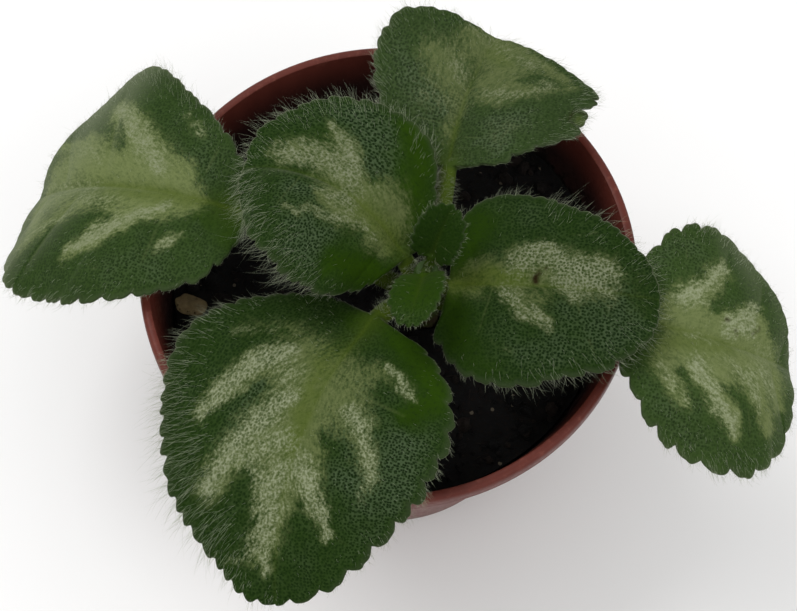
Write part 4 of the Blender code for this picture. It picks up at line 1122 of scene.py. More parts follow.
def hair_finish(settings):
    made, s, shader, place = new_finish("leaf_hair", 0.4, 0.5)
    shade = s.ramp(s.noise(place, 900.0, 2.0), 0.3, 0.7, 0.75, 1.1)
    tone = s.node("ShaderNodeCombineColor", {0: shade, 1: shade, 2: shade}).outputs[0]
    s.feed(shader["Base Color"], s.mix(1.0, settings.colour, tone, "MULTIPLY"))
    s.feed(shader["Roughness"], s.ramp(s.noise(place, 1500.0, 2.0), 0.3, 0.7, 0.3, 0.5))
    return made


# Pot


def wall_radius(z):
    return FOOT_RADIUS + (RIM_RADIUS - LIP_STEP - FOOT_RADIUS) * z / POT_HEIGHT


def pot_rings():
    """Radius and height of each ring, up the outside, over the lip and down the inside."""
    under = POT_HEIGHT - LIP_DROP
    inside = RIM_RADIUS - LIP_WIDTH
    rings = [(FOOT_RADIUS - 0.5, 0.0), (FOOT_RADIUS - 0.1, 0.25), (wall_radius(0.9), 0.9)]
    rings += [(wall_radius(z), z) for z in (8.0, 20.0, 32.0, 44.0, under - 0.9)]
    rings += [(wall_radius(under) + 0.06, under - 0.5), (RIM_RADIUS - 0.18, under)]
    rings += [(RIM_RADIUS, under + 0.22), (RIM_RADIUS, POT_HEIGHT - 0.9)]
    rings += [(RIM_RADIUS - 0.12, POT_HEIGHT - 0.38)]
    rings += [(RIM_RADIUS - 0.42, POT_HEIGHT - 0.08), (RIM_RADIUS - 0.75, POT_HEIGHT)]
    rings += [(inside + 0.4, POT_HEIGHT), (inside + 0.12, POT_HEIGHT - 0.12), (inside, POT_HEIGHT - 0.42)]
    rings += [(wall_radius(z) - WALL, z) for z in (under - 0.2, 44.0, 32.0, 20.0, 8.0)]
    rings += [(wall_radius(FLOOR + 0.7) - WALL - 0.05, FLOOR + 0.7), (wall_radius(FLOOR) - WALL - 0.5, FLOOR)]
    return rings


class PRIMULINA_OT_pot(bpy.types.Operator):
    """Model the thin growing pot with its rolled lip and drain holes"""

    bl_idname = "primulina.add_pot"
    bl_label = "Add pot"

    def execute(self, context):
        settings = context.scene.primulina.pot
        pot = raise_rings(pot_rings(), settings.sides)
        holes = []
        for i in range(DRAIN_HOLES):
            turn = math.tau * (i + 0.5) / DRAIN_HOLES
            spot = (DRAIN_CIRCLE * math.cos(turn) * MM, DRAIN_CIRCLE * math.sin(turn) * MM, 0.0)
            clear_selection()
            bpy.ops.mesh.primitive_cylinder_add(
                vertices=40, radius=DRAIN_RADIUS * MM, depth=4 * FLOOR * MM, location=spot
            )
            holes.append(context.object)
        pick(*holes)
        bpy.ops.object.join()
        cut_out(pot, context.object)
        change = pot.modifiers.new("edge", "BEVEL")
        change.width = settings.bevel
        change.segments = 2
        change.limit_method = "ANGLE"
        change.angle_limit = math.radians(POT_EDGE_ANGLE)
        apply_modifiers(pot)
        settle(pot, "pot_shell")
        smooth(pot, 40.0)
        finish_piece(pot, pot_finish(settings), "pot")
        return {"FINISHED"}


# Soil


def soil_height(x, y):
    lumps = (
        np.sin(0.31 * x + 0.9) * np.cos(0.27 * y - 0.4)
        + 0.7 * np.sin(0.63 * x - 0.21 * y + 2.1)
        + 0.5 * np.sin(0.83 * y + 0.33 * x + 0.7)
        + 0.35 * np.sin(1.37 * x + 1.1 * y + 1.9)
    )
    return SOIL_TOP + SOIL_LUMP * 0.5 * lumps


def crumble(x, y):
    """Fine crumb relief of the soil's top, in millimetres."""
    rough = noise.fractal(Vector((x * 0.55, y * 0.55, 3.1)), 0.8, 2.1, 5)
    nubs = noise.voronoi(Vector((x * 0.6, y * 0.6, 0.4)))[0][0]
    return 0.28 * rough + 0.35 * (0.5 - min(nubs, 0.5))


class PRIMULINA_OT_soil(bpy.types.Operator):
    """Model the plug of potting soil with its crumbly top"""

    bl_idname = "primulina.add_soil"
    bl_label = "Add soil"

    def execute(self, context):
        settings = context.scene.primulina.soil
        room = WALL + SEAT_GAP + 0.1
        foot_z = FLOOR + SEAT_GAP
        edge = wall_radius(SOIL_TOP - 1.0) - room
        clear_selection()
        bpy.ops.mesh.primitive_cylinder_add(
            vertices=settings.sides, radius=edge * MM, depth=(SOIL_TOP - foot_z) * MM,
            location=(0.0, 0.0, (SOIL_TOP + foot_z) / 2 * MM),
        )
        soil = settle(context.object, "soil_plug")
        pick(soil)
        bpy.ops.object.mode_set(mode="EDIT")
        bpy.ops.mesh.select_mode(type="FACE")
        bpy.ops.mesh.select_all(action="DESELECT")
        bpy.ops.object.mode_set(mode="OBJECT")
        for face in soil.data.polygons:
            face.select = face.normal.z > 0.9
        bpy.ops.object.mode_set(mode="EDIT")
        for _ in range(settings.rings - 1):
            bpy.ops.mesh.inset(thickness=edge / settings.rings * MM, depth=0.0)
        bpy.ops.mesh.poke()
        bpy.ops.object.mode_set(mode="OBJECT")
        foot = (wall_radius(foot_z) - room - 0.2) / edge
        for point in soil.data.vertices:
            x, y, z = point.co / MM
            if z < SOIL_TOP - 1.0:
                point.co = (x * foot * MM, y * foot * MM, z * MM)
                continue
            reach = math.hypot(x, y) / edge
            height = float(soil_height(x, y)) - 0.5 * max(0.0, (reach - 0.93) / 0.07)
            height += crumble(x, y) * (1.0 - 0.7 * max(0.0, (reach - 0.9) / 0.1))
            fit = (wall_radius(min(height, SOIL_TOP)) - room) / edge if reach > 0.99 else 1.0
            point.co = (x * fit * MM, y * fit * MM, height * MM)
        clear_selection()
        middle = STEM_BOTTOM - SEAT_GAP + STEM_HOLE_DEPTH / 2
        bpy.ops.mesh.primitive_cylinder_add(
            vertices=32, radius=STEM_HOLE_RADIUS * MM, depth=STEM_HOLE_DEPTH * MM,
            location=(STEM_AXIS[0] * MM, STEM_AXIS[1] * MM, middle * MM),
        )
        cut_out(soil, context.object)
        smooth(soil, 60.0)
        finish_piece(soil, soil_finish(settings), "soil")
        return {"FINISHED"}


def unit_ball(subdivisions):
    """Points and triangles of a small ball, taken from a primitive."""
    clear_selection()
    bpy.ops.mesh.primitive_ico_sphere_add(subdivisions=subdivisions, radius=1.0)
    ball = bpy.context.object
    points = np.array([v.co[:] for v in ball.data.vertices])
    faces = np.array([f.vertices[:] for f in ball.data.polygons])
    mesh = ball.data
    bpy.data.objects.remove(ball)
    bpy.data.meshes.remove(mesh)
    return points, faces


def soil_spots(rng, count, low, high):
    """Even random places on the soil, between two shares of its radius."""
    edge = wall_radius(SOIL_TOP) - WALL - SEAT_GAP - 1.2
    reach = edge * np.sqrt(rng.uniform(low**2, high**2, count))
    turn = rng.uniform(0.0, math.tau, count)
    x, y = reach * np.cos(turn), reach * np.sin(turn)
    clear = np.hypot(x - STEM_AXIS[0], y - STEM_AXIS[1]) > STEM_HOLE_RADIUS + 0.8
    clear &= np.hypot(x - GRAIN_PLACE[0], y - GRAIN_PLACE[1]) > GRAIN_CLEAR
    return x[clear], y[clear]


class PRIMULINA_OT_crumbs(bpy.types.Operator):
    """Scatter crumbs, lumps and fibres on the soil"""

    bl_idname = "primulina.add_crumbs"
    bl_label = "Add soil crumbs"

    def execute(self, context):
        settings = context.scene.primulina.soil
        rng = np.random.default_rng(CRUMB_SEED)
        parts, tones = [], []
        for count, detail, sizes in ((settings.crumbs, 1, CRUMB_SIZE), (settings.lumps, 2, LUMP_SIZE)):
            ball, sides = unit_ball(detail)
            x, y = soil_spots(rng, count, 0.0, 1.0)
            near = soil_spots(rng, count // 3, 0.9, 1.0)
            x, y = np.concatenate([x, near[0]]), np.concatenate([y, near[1]])
            for px, py in zip(x, y):
                size = rng.uniform(*sizes) * rng.uniform(0.6, 1.2, 3)
                knob = 1.0 + rng.uniform(-0.25, 0.25, len(ball))[:, None]
                turn = rng.uniform(0.0, math.tau)
                shape = ball * knob * size
                cos, sin = math.cos(turn), math.sin(turn)
                shape = shape @ np.array([[cos, sin, 0.0], [-sin, cos, 0.0], [0.0, 0.0, 1.0]])
                z = float(soil_height(px, py)) + crumble(px, py) + 0.25 * size[2]
                parts.append((shape + np.array([px, py, z]), sides))
                tones.append(np.full(len(ball), rng.uniform(0.0, 1.0) ** 3))
        crumbs = piece_from("soil_crumbs", *joined(parts), {"tone": np.concatenate(tones)})
        crumbs.data.shade_flat()
        finish_piece(crumbs, soil_finish(settings, "loose_soil", True))
        x, y = soil_spots(rng, settings.fibres, 0.2, 0.97)
        z = soil_height(x, y) + 0.5
        root = np.stack([x, y, z], -1)
        turn = rng.uniform(0.0, math.tau, len(x))
        way = np.stack([np.cos(turn), np.sin(turn), rng.uniform(0.0, 0.35, len(x))], -1)
        sag = np.stack([rng.normal(0, 0.25, len(x)), rng.normal(0, 0.25, len(x)), -0.3 + 0 * x], -1)
        length = rng.uniform(*FIBRE_LENGTH, len(x))
        strands = hair_tubes(root, unit(way), sag, length, FIBRE_RADIUS + 0 * x, 4)
        fibres = piece_from("soil_fibres", *strands, {"tone": np.full(len(strands[0]), 0.8)})
        finish_piece(fibres, bpy.data.materials["loose_soil"])
        return {"FINISHED"}


class PRIMULINA_OT_pumice(bpy.types.Operator):
    """Model the pumice grain that lies on the soil"""

    bl_idname = "primulina.add_pumice"
    bl_label = "Add pumice grain"

    def execute(self, context):
        settings = context.scene.primulina.soil
        clear_selection()
        bpy.ops.mesh.primitive_ico_sphere_add(subdivisions=5, radius=1.0)
        grain = context.object
        turn = math.radians(GRAIN_TURN)
        x0, y0 = GRAIN_PLACE
        z0 = float(soil_height(x0, y0)) + GRAIN_RISE
        for point in grain.data.vertices:
            p = point.co.copy()
            knob = 1.0 + 0.09 * math.sin(5.0 * p.x + 1.0) * math.cos(4.0 * p.y) + 0.06 * math.sin(6.0 * p.z)
            knob += 0.05 * noise.fractal(p * 2.4, 0.7, 2.0, 5)
            knob -= 0.06 * max(0.0, 0.28 - noise.voronoi(p * 3.5)[0][0]) / 0.28
            a, b, c = (knob * p[i] * GRAIN_SIZE[i] / 2 for i in range(3))
            x = x0 + a * math.cos(turn) - b * math.sin(turn)
            y = y0 + a * math.sin(turn) + b * math.cos(turn)
            point.co = (x * MM, y * MM, (z0 + c) * MM)
        settle(grain, "pumice_stone")
        smooth(grain, 60.0)
        finish_piece(grain, pumice_finish(settings), "pumice_grain")
        return {"FINISHED"}


# Hairs


def hair_tubes(root, way, drift, length, radius, steps):
    """Points and triangles of three-sided tapering hairs that bend along their drift."""
    count = len(root)
    share = np.linspace(0.0, 1.0, steps + 1)[None, :, None]
    line = root[:, None] + length[:, None, None] * (share * way[:, None] + share**2 * drift[:, None])
    side = unit(np.cross(way, drift + np.array([0.013, 0.021, 0.017])))
    other = np.cross(way, side)
    rings = []
    for k in range(3):
        turn = math.tau * k / 3
        rings.append(side * math.cos(turn) + other * math.sin(turn))
    rings = np.stack(rings, 1)
    thin = radius[:, None, None, None] * (1.0 - 0.7 * share[:, :-1, :, None])
    body = line[:, :-1, None] + rings[:, None] * thin
    size = 3 * steps + 1
    points = np.concatenate([body.reshape(count, -1, 3), line[:, -1:]], 1).reshape(-1, 3)
    pattern = [(0, 2, 1)]
    for i in range(steps - 1):
        for k in range(3):
            a, b = 3 * i + k, 3 * i + (k + 1) % 3
            pattern += [(a, b, b + 3), (a, b + 3, a + 3)]
    tip = 3 * steps
    pattern += [(tip - 3 + k, tip - 3 + (k + 1) % 3, tip) for k in range(3)]
    faces = np.array(pattern)[None] + (np.arange(count) * size)[:, None, None]
    return points, faces.reshape(-1, 3)


def joined(parts):
    """Several sets of points and triangles as one."""
    points, faces, start = [], [], 0
    for p, f in parts:
        points.append(p)
        faces.append(f + start)
        start += len(p)
    return np.concatenate(points), np.concatenate(faces)


# Stem


def scar_wave(z):
    """One on each leaf scar of the stem, and less between them."""
    return math.cos(math.tau * (z - STEM_BOTTOM) / SCAR_PITCH)


def stem_rings():
    """Radius and height of each ring, with scars and rounded ends."""
    rings = [(0.6 * STEM_RADIUS, STEM_BOTTOM)]
    for i in range(1, STEM_STEPS + 1):
        high = STEM_BOTTOM + (STEM_TOP - STEM_BOTTOM) * i / STEM_STEPS
        end = min(1.0, 0.75 + 0.25 * (STEM_STEPS - i) / 4.0) * min(1.0, 0.6 + 0.4 * i / 3.0)
        rings.append(((STEM_RADIUS - SCAR_DEPTH + SCAR_DEPTH * scar_wave(high)) * end, high))
    return rings


class PRIMULINA_OT_stem(bpy.types.Operator):
    """Model the short scarred stem and its hairs"""

    bl_idname = "primulina.add_stem"
    bl_label = "Add stem"

    def execute(self, context):
        settings = context.scene.primulina
        stem = settle(raise_rings(stem_rings(), STEM_SIDES, STEM_AXIS), "stem_trunk")
        x0, y0 = STEM_AXIS
        scars = []
        for point in stem.data.vertices:
            x, y, z = point.co / MM
            dx, dy = x - x0, y - y0
            bump = 1.0 + 0.035 * noise.fractal(Vector((dx, dy, z)) * 0.9, 0.8, 2.0, 4)
            point.co = ((x0 + dx * bump) * MM, (y0 + dy * bump) * MM, z * MM)
            scars.append(max(0.0, scar_wave(z)) ** 3)
        layer = stem.data.attributes.new("scar", "FLOAT", "POINT")
        layer.data.foreach_set("value", scars)
        smooth(stem, 50.0)
        finish_piece(stem, stem_finish(settings.leaf), "stem")
        rng = np.random.default_rng(STEM_SEED)
        count = STEM_HAIRS
        turn = rng.uniform(0.0, math.tau, count)
        high = SOIL_TOP + 1.0 + (STEM_TOP - SOIL_TOP - 1.3) * rng.uniform(0.0, 1.0, count) ** 0.6
        out = np.stack([np.cos(turn), np.sin(turn), 0 * turn], -1)
        root = out * (STEM_RADIUS - 0.2) + np.stack([0 * high + x0, 0 * high + y0, high], -1)
        way = unit(out + rng.normal(0.0, 0.25, (count, 3)))
        drift = rng.normal(0.0, 0.18, (count, 3)) + np.array([0.0, 0.0, 0.1])
        length = rng.uniform(*STEM_HAIR_LENGTH, count)
        hairs = hair_tubes(root, way, drift, length, np.full(count, settings.hair.radius / MM), 3)
        hair_piece("stem_hairs", hairs, settings.hair)
        return {"FINISHED"}


# Leaves


class LeafForm:
    """One leaf's form: the surface it lies on and the outline of its blade."""

    def __init__(self, leaf):
        self.leaf = leaf
        self.length = leaf["length"]
        self.young = self.length < YOUNG_LENGTH
        self.petiole = leaf["petiole"]
        self.half_width, self.half_depth = leaf["stalk"]
        reach = leaf.get("reach", STEM_RADIUS + 0.35)
        start = math.radians(leaf["heading"] + leaf["petiole_turn"])
        root = np.array([
            STEM_AXIS[0] + reach * math.cos(start),
            STEM_AXIS[1] + reach * math.sin(start),
            leaf["height"],
        ])
        self.stalk_s = np.linspace(-self.petiole, 0.0, 80)
        self.stalk_line = self.line(self.stalk_s, root)
        self.blade_s = np.linspace(-8.0, self.length + 4.0, 300)
        self.blade_line = self.line(self.blade_s, self.stalk_line[0][-1], True)
        self.margins = {side: self.teeth_along(side) for side in (1, -1)}

    def line(self, s, anchor, blade=False):
        """Points and frames along the midrib; the blade's own line runs on straight behind its base."""
        leaf = self.leaf
        along = np.clip(s / self.length, 0.0, 1.0)
        back = 0.0 * s if blade else np.clip(-s / self.petiole, 0.0, 1.0)
        rise = leaf["rise"] + (leaf["petiole_rise"] - leaf["rise"]) * back
        rise = rise + (leaf["tip_rise"] - leaf["rise"]) * along
        heading = leaf["heading"] + leaf["bend"] * along + leaf["petiole_turn"] * back**1.5
        roll = np.radians(leaf["roll"] + leaf["twist"] * along) * smoothstep(1.0 - back)
        pitch = np.radians(rise)
        way = np.radians(heading)
        ahead = np.stack([np.cos(pitch) * np.cos(way), np.cos(pitch) * np.sin(way), np.sin(pitch)], -1)
        moved = np.cumsum((ahead[1:] + ahead[:-1]) / 2 * (s[1] - s[0]), 0)
        points = np.concatenate([np.zeros((1, 3)), moved])
        if blade:
            points = points - self.read(points, s, np.array([0.0]))[0]
        points = points + anchor
        level = np.stack([-np.sin(way), np.cos(way), 0 * way], -1)
        over = np.cross(ahead, level)
        if leaf["petiole_rise"] < 60.0:
            upright = 0.0 if blade else smoothstep((-s - self.petiole + 2.2) / 2.2)[:, None]
            over = unit(over * (1 - upright) + np.array([0.0, 0.0, 1.0]) * upright)
        cos, sin = np.cos(roll)[:, None], np.sin(roll)[:, None]
        return points, level * cos + over * sin, over * cos - level * sin

    def read(self, values, at, s):
        return np.stack([np.interp(s, at, values[:, i]) for i in range(3)], -1)

    def stalk_point(self, s, t, h):
        """A point of the stalk: along it, to its left, and above its middle."""
        points, across, over = (self.read(v, self.stalk_s, s) for v in self.stalk_line)
        return points + across * t[..., None] + over * h[..., None]

    def bent(self, s, t):
        """The point of the blade's middle surface for a point of its flat plan."""
        left = t >= 0.0
        fold = np.radians(np.where(left, *self.leaf["fold"]))
        curl = np.maximum(np.radians(np.where(left, *self.leaf["arch"])), 1e-5)
        d = np.abs(t)
        out = (np.sin(fold) - np.sin(fold - curl * d)) / curl
        up = (np.cos(fold - curl * d) - np.cos(fold)) / curl
        sign = np.where(left, 1.0, -1.0)
        points, across, over = (self.read(v, self.blade_s, s) for v in self.blade_line)
        return points + across * (sign * out)[..., None] + over * up[..., None]

    def normal(self, s, t):
        e = 0.15
        ds = self.bent(s + e, t) - self.bent(s - e, t)
        dt = self.bent(s, t + e) - self.bent(s, t - e)
        return unit(np.cross(ds, dt))

    def of_side(self, side, *keys):
        """Those of the leaf's paired values that are for one half."""
        return [self.leaf[key][0 if side > 0 else 1] for key in keys]

    def half(self, side, u):
        """The blade's smooth edge on one side: distance along and out from the midrib."""
        wide, form, skew, trim = self.of_side(side, "width", "form", "skew", "trim")
        x = (1.0 - np.cos(math.pi * u)) / 2.0
        arc = np.maximum(np.sin(math.pi * u), 0.0)
        out = wide * arc**form * (1.0 - skew * np.cos(math.pi * u))
        out = out * eased(u, trim)
        stalk = self.half_width * np.clip(1.0 - u / 0.15, 0.0, 1.0)
        out = np.sqrt(out**2 + stalk**2)
        lobe = self.leaf["lobe"] * 1.3 * np.sin(math.pi * np.clip(1.6 * u, 0.0, 1.0)) * (1.0 - u)
        return self.length * x - lobe, out

    def flat(self, side, u, v):
        """A point of the flat plan from its row and its share of the half width."""
        x = (1.0 - np.cos(math.pi * u)) / 2.0
        along, out = self.half(side, u)
        rib = self.length * (0.85 * u + 0.15 * x - VEIN_SWEEP * np.sin(math.pi * u))
        return rib + (along - rib) * np.abs(v) ** 1.3, side * out * v

    def wave(self, side, u, v):
        count = self.leaf["waves"]
        phase = self.leaf["wave_phase"] + (0.4 if side > 0 else 0.0)
        size = 0.03 * self.leaf["width"][0]
        grow = smoothstep(u / 0.2) * smoothstep((1.0 - u) / 0.1)
        return size * np.sin(math.tau * (count * u + phase)) * np.minimum(v, 1.0) ** 2 * grow

    def teeth_along(self, side):
        """Run of the margin and the teeth's places on it."""
        u = np.linspace(0.0, 1.0, 500)
        along, out = self.half(side, u)
        run = np.concatenate([[0.0], np.cumsum(np.hypot(np.diff(along), np.diff(out)))])
        rng = np.random.default_rng(self.leaf["seed"] + (100 if side > 0 else 0))
        count = max(4, round(run[-1] / (TOOTH_PITCH * self.leaf["teeth"])))
        teeth = np.cumsum(np.concatenate([[0.0], rng.uniform(0.8, 1.2, count + 1)]))
        last = teeth[-2] + 0.5 * (teeth[-1] - teeth[-2])
        deep = np.random.default_rng(self.leaf["seed"] + 7).uniform(0.6, 1.15, len(teeth))
        return u, along, out, run, teeth, last, deep

    def margin(self, side, u):
        """The toothed margin at some rows: distance along and out from the midrib."""
        grid, along, out, run, teeth, last, deep = self.margins[side]
        total = run[-1]
        where = np.interp(u, grid, run)
        share = where / total
        scale = self.leaf["teeth"]
        split, bite = self.of_side(side, "split", "bite")
        spot = share * last
        i = np.clip(np.searchsorted(teeth, spot, side="right") - 1, 0, len(teeth) - 2)
        gap = teeth[i + 1] - teeth[i]
        f = (spot - teeth[i]) / gap
        gap = gap + (1.0 - gap) * smoothstep((share - 0.96) / 0.04)
        depth = TOOTH_DEPTH * smoothstep(share / 0.14) * gap * scale * deep[i]
        single = np.maximum(np.sin(math.pi * f**1.2), 0.0) ** 0.75
        double = np.abs(np.sin(math.tau * f)) ** 0.75
        depth = depth * (single + split * (double - single))
        depth = depth * eased(share, bite)
        depth = depth + 0.06 * scale * np.sin(where * 3.1 + self.leaf["seed"]) * smoothstep(share / 0.1)
        for place, deep_in in self.leaf.get("tears", ()) if side < 0 else ():
            depth = depth - deep_in * np.exp(-(((share - place) / TEAR_WIDTH) ** 2))
        ahead, behind = np.minimum(where + 0.4, total), np.maximum(where - 0.4, 0.0)
        da = np.interp(ahead, run, along) - np.interp(behind, run, along)
        do = np.interp(ahead, run, out) - np.interp(behind, run, out)
        size = np.hypot(da, do)
        da, do = da / size, do / size
        lean = TOOTH_LEAN * smoothstep((1.0 - share) / 0.06)
        tip = smoothstep((share - 0.985) / 0.015)
        a = np.interp(where, run, along) + (da * lean - do) * depth
        o = np.interp(where, run, out) + (da + do * lean) * depth
        return a, o * (1.0 - tip)


def wander(s, t):
    """The plan shifted by a few small waves, so that strokes get uneven borders."""
    rng = np.random.default_rng(WANDER_SEED)
    shift = [0.0, 0.0]
    for wave in (6.0, 4.4, 3.2, 2.4, 1.8, 1.3, 1.0, 0.8):
        for axis in (0, 1):
            turn, start = rng.uniform(0, math.tau, 2)
            along = s * math.cos(turn) + t * math.sin(turn)
            shift[axis] = shift[axis] + 0.06 * wave**0.7 * np.sin(math.tau * along / wave + start)
    return s + shift[0], t + shift[1]


def painted(strokes, s, t, spread):
    """How strongly soft strokes mark each point of the flat plan."""
    s, t = wander(s, t)
    clear = np.ones(s.shape)
    for strength, *line in strokes:
        best = np.zeros(s.shape)
        for (s0, t0, r0), (s1, t1, r1) in zip(line, line[1:] or line):
            ds, dt = s1 - s0, t1 - t0
            share = np.clip(((s - s0) * ds + (t - t0) * dt) / max(ds * ds + dt * dt, 1e-6), 0.0, 1.0)
            away = np.hypot(s - s0 - share * ds, t - t0 - share * dt)
            radius = r0 + (r1 - r0) * share
            best = np.maximum(best, strength * np.exp(-((away / (spread * radius)) ** 2)))
        clear = clear * (1.0 - best)
    return 1.0 - clear


def blade_side(form, side, rows, columns):
    """Rows, shares of the width, plan points and edge rounding of one side of the blade."""
    u = np.linspace(0.0, 1.0, rows + 1)
    along, out = form.half(side, u)
    edge_s, edge_t = form.margin(side, u)
    rim = np.clip(EDGE_ROUND / np.maximum(out, 0.01), 0.015, 0.35)[:, None]
    turn = np.arange(1, EDGE_STEPS + 1) * math.pi / 2 / EDGE_STEPS
    inner = np.linspace(0.0, 1.0, columns + 1)[None] * (1.0 - rim)
    v = np.concatenate([inner, 1.0 - rim + rim * np.sin(turn)[None]], 1)
    close = np.concatenate([np.ones(columns + 1), np.cos(turn)])[None] + 0.0 * v
    close[:, -1] = 0.0
    row = u[:, None] + 0.0 * v
    s, t = form.flat(side, row, v)
    push = v**3
    s = s + (edge_s - along)[:, None] * push
    t = t + side * (edge_t - out)[:, None] * push
    return row, v, s, t, close


def vein_phase(form, side, u):
    """A number that is whole on each side vein."""
    return (4.0 if form.young else 5.5) * u + (0.0 if side > 0 else 0.42)


def vein_relief(form, side, u, v, t):
    """Height of the quilted blade: sunk side veins and raised panels between them."""
    wide = max(form.leaf["width"])
    grow = smoothstep(v / 0.25) * smoothstep((1.02 - v) / 0.35)
    grow = grow * smoothstep(u / 0.15) * smoothstep((1.0 - u) / 0.12)
    panel = np.abs(np.sin(math.pi * vein_phase(form, side, u))) ** 0.6
    rib = np.exp(-((t / 0.7) ** 2)) * smoothstep((1.0 - u) / 0.3)
    return 0.014 * wide * (panel - 0.6) * grow, -0.28 * rib * min(1.0, wide / 15.0)


def blade_half(form, rows, columns, lower):
    """The upper or lower face of a whole blade as grids from right margin to left."""
    parts = []
    for side in (-1, 1):
        u, v, s, t, close = blade_side(form, side, rows, columns)
        panel, rib = vein_relief(form, side, u, v, t)
        middle, n = form.bent(s, t), form.normal(s, t)
        lift = form.wave(side, u, v)
        stalk = form.half_depth * np.sqrt(np.clip(1.0 - v**2, 0.0, 1.0))
        blend = smoothstep(u / 0.14)
        half = form.leaf.get("half", BLADE_HALF) * close
        ridge = (form.half_depth * (1.0 - u) + 0.1) * np.exp(-((t / 1.2) ** 2)) * close
        if lower:
            height = -(stalk * (1.0 - blend) + (half + ridge + 0.6 * np.abs(panel) * close) * blend)
        else:
            height = stalk * (1.0 - blend) + (half + (panel + rib) * close) * blend
        phase = vein_phase(form, side, u)
        grid = dict(p=middle + n * (lift + height)[..., None], n=n, u=u, v=v, s=s, t=t, phase=phase)
        if side < 0:
            grid = {key: value[:, ::-1][:, :-1] for key, value in grid.items()}
        parts.append(grid)
    return {key: np.concatenate([parts[0][key], parts[1][key]], 1) for key in parts[0]}


def strips(rows):
    """Triangles between consecutive rows of point numbers; those that have no area are left out."""
    faces = []
    for a, b in zip(rows, rows[1:]):
        for p, q, r, w in zip(a, a[1:], b[1:], b):
            if len({p, q, r}) == 3:
                faces.append((p, q, r))
            if len({p, r, w}) == 3:
                faces.append((p, r, w))
    return faces


def leaf_shape(leaf, settings):
    """All of one leaf: form, points, triangles, values, the grid of its upper face and its stalk's rings."""
    form = LeafForm(leaf)
    coarse = 2 if form.young else 1
    rows = settings.rows // coarse
    upper = blade_half(form, rows, settings.columns // coarse, False)
    lower = blade_half(form, rows, settings.under, True)
    points = list(upper["p"].reshape(-1, 3))
    wide = upper["p"].shape[1]
    above = np.arange(len(points)).reshape(-1, wide)
    above[-1, : wide // 2] = above[-1, wide // 2 + 1:][::-1]
    low_wide = lower["p"].shape[1]
    below = len(points) + np.arange(lower["p"][:, 1:-1].size // 3).reshape(-1, low_wide - 2)
    points += list(lower["p"][:, 1:-1].reshape(-1, 3))
    below = np.concatenate([above[:, :1], below, above[:, -1:]], 1)
    below[-1, : low_wide // 2] = below[-1, low_wide // 2 + 1:][::-1]
    faces = strips(above) + [f[::-1] for f in strips(below)]
    values = {}
    for key in ("u", "v", "s", "t", "phase"):
        values[key] = list(upper[key].ravel()) + list(lower[key][:, 1:-1].ravel())
    values["under"] = [0.0] * upper["u"].size + [1.0] * lower["u"][:, 1:-1].size
    # Stalk, ring by ring from the blade's base to the stem
    ring = np.concatenate([above[0], below[0][1:-1][::-1]])
    at_v = np.concatenate([upper["v"][0], lower["v"][0, 1:-1][::-1]])
    at_t = np.concatenate([upper["t"][0], lower["t"][0, 1:-1][::-1]])
    sign = np.concatenate([np.ones(wide), -np.ones(low_wide - 2)])
    deep = sign * form.half_depth * np.sqrt(np.clip(1.0 - at_v**2, 0.0, 1.0))
    count = max(3, round(form.petiole / RING_PITCH))
    numbers, stalk = [ring], []
    for i in range(1, count + 2):
        at = -form.petiole * min(i, count) / count + 0.0 * at_t
        place = form.stalk_point(at, at_t, deep)
        keep = smoothstep(1.0 + at / min(2.5, form.petiole))[:, None]
        folded = form.bent(at, at_t) + form.normal(at, at_t) * deep[:, None]
        place = place * (1.0 - keep) + folded * keep
        if i > count:
            inward = np.array([*STEM_AXIS, 0.0]) - place.mean(0)
            inward[2] = 0.0
            place = place + STALK_SINK * inward / max(np.linalg.norm(inward), 0.3)
        numbers.append(len(points) + np.arange(len(ring)))
        stalk.append(place)
        points += list(place)
        found = dict(u=0 * at, v=at_v, s=at, t=at_t, phase=0.5 + 0 * at)
        found["under"] = np.where(sign > 0, 0.0, 1.0) * (at_v < 0.999)
        for key, value in found.items():
            values[key] += list(value)
    faces += [f[::-1] for f in strips([list(r) + [r[0]] for r in numbers])]
    faces.append(tuple(int(k) for k in numbers[-1]))
    values = {key: np.array(value) for key, value in values.items()}
    return form, np.array(points), faces, values, upper, np.array(stalk)


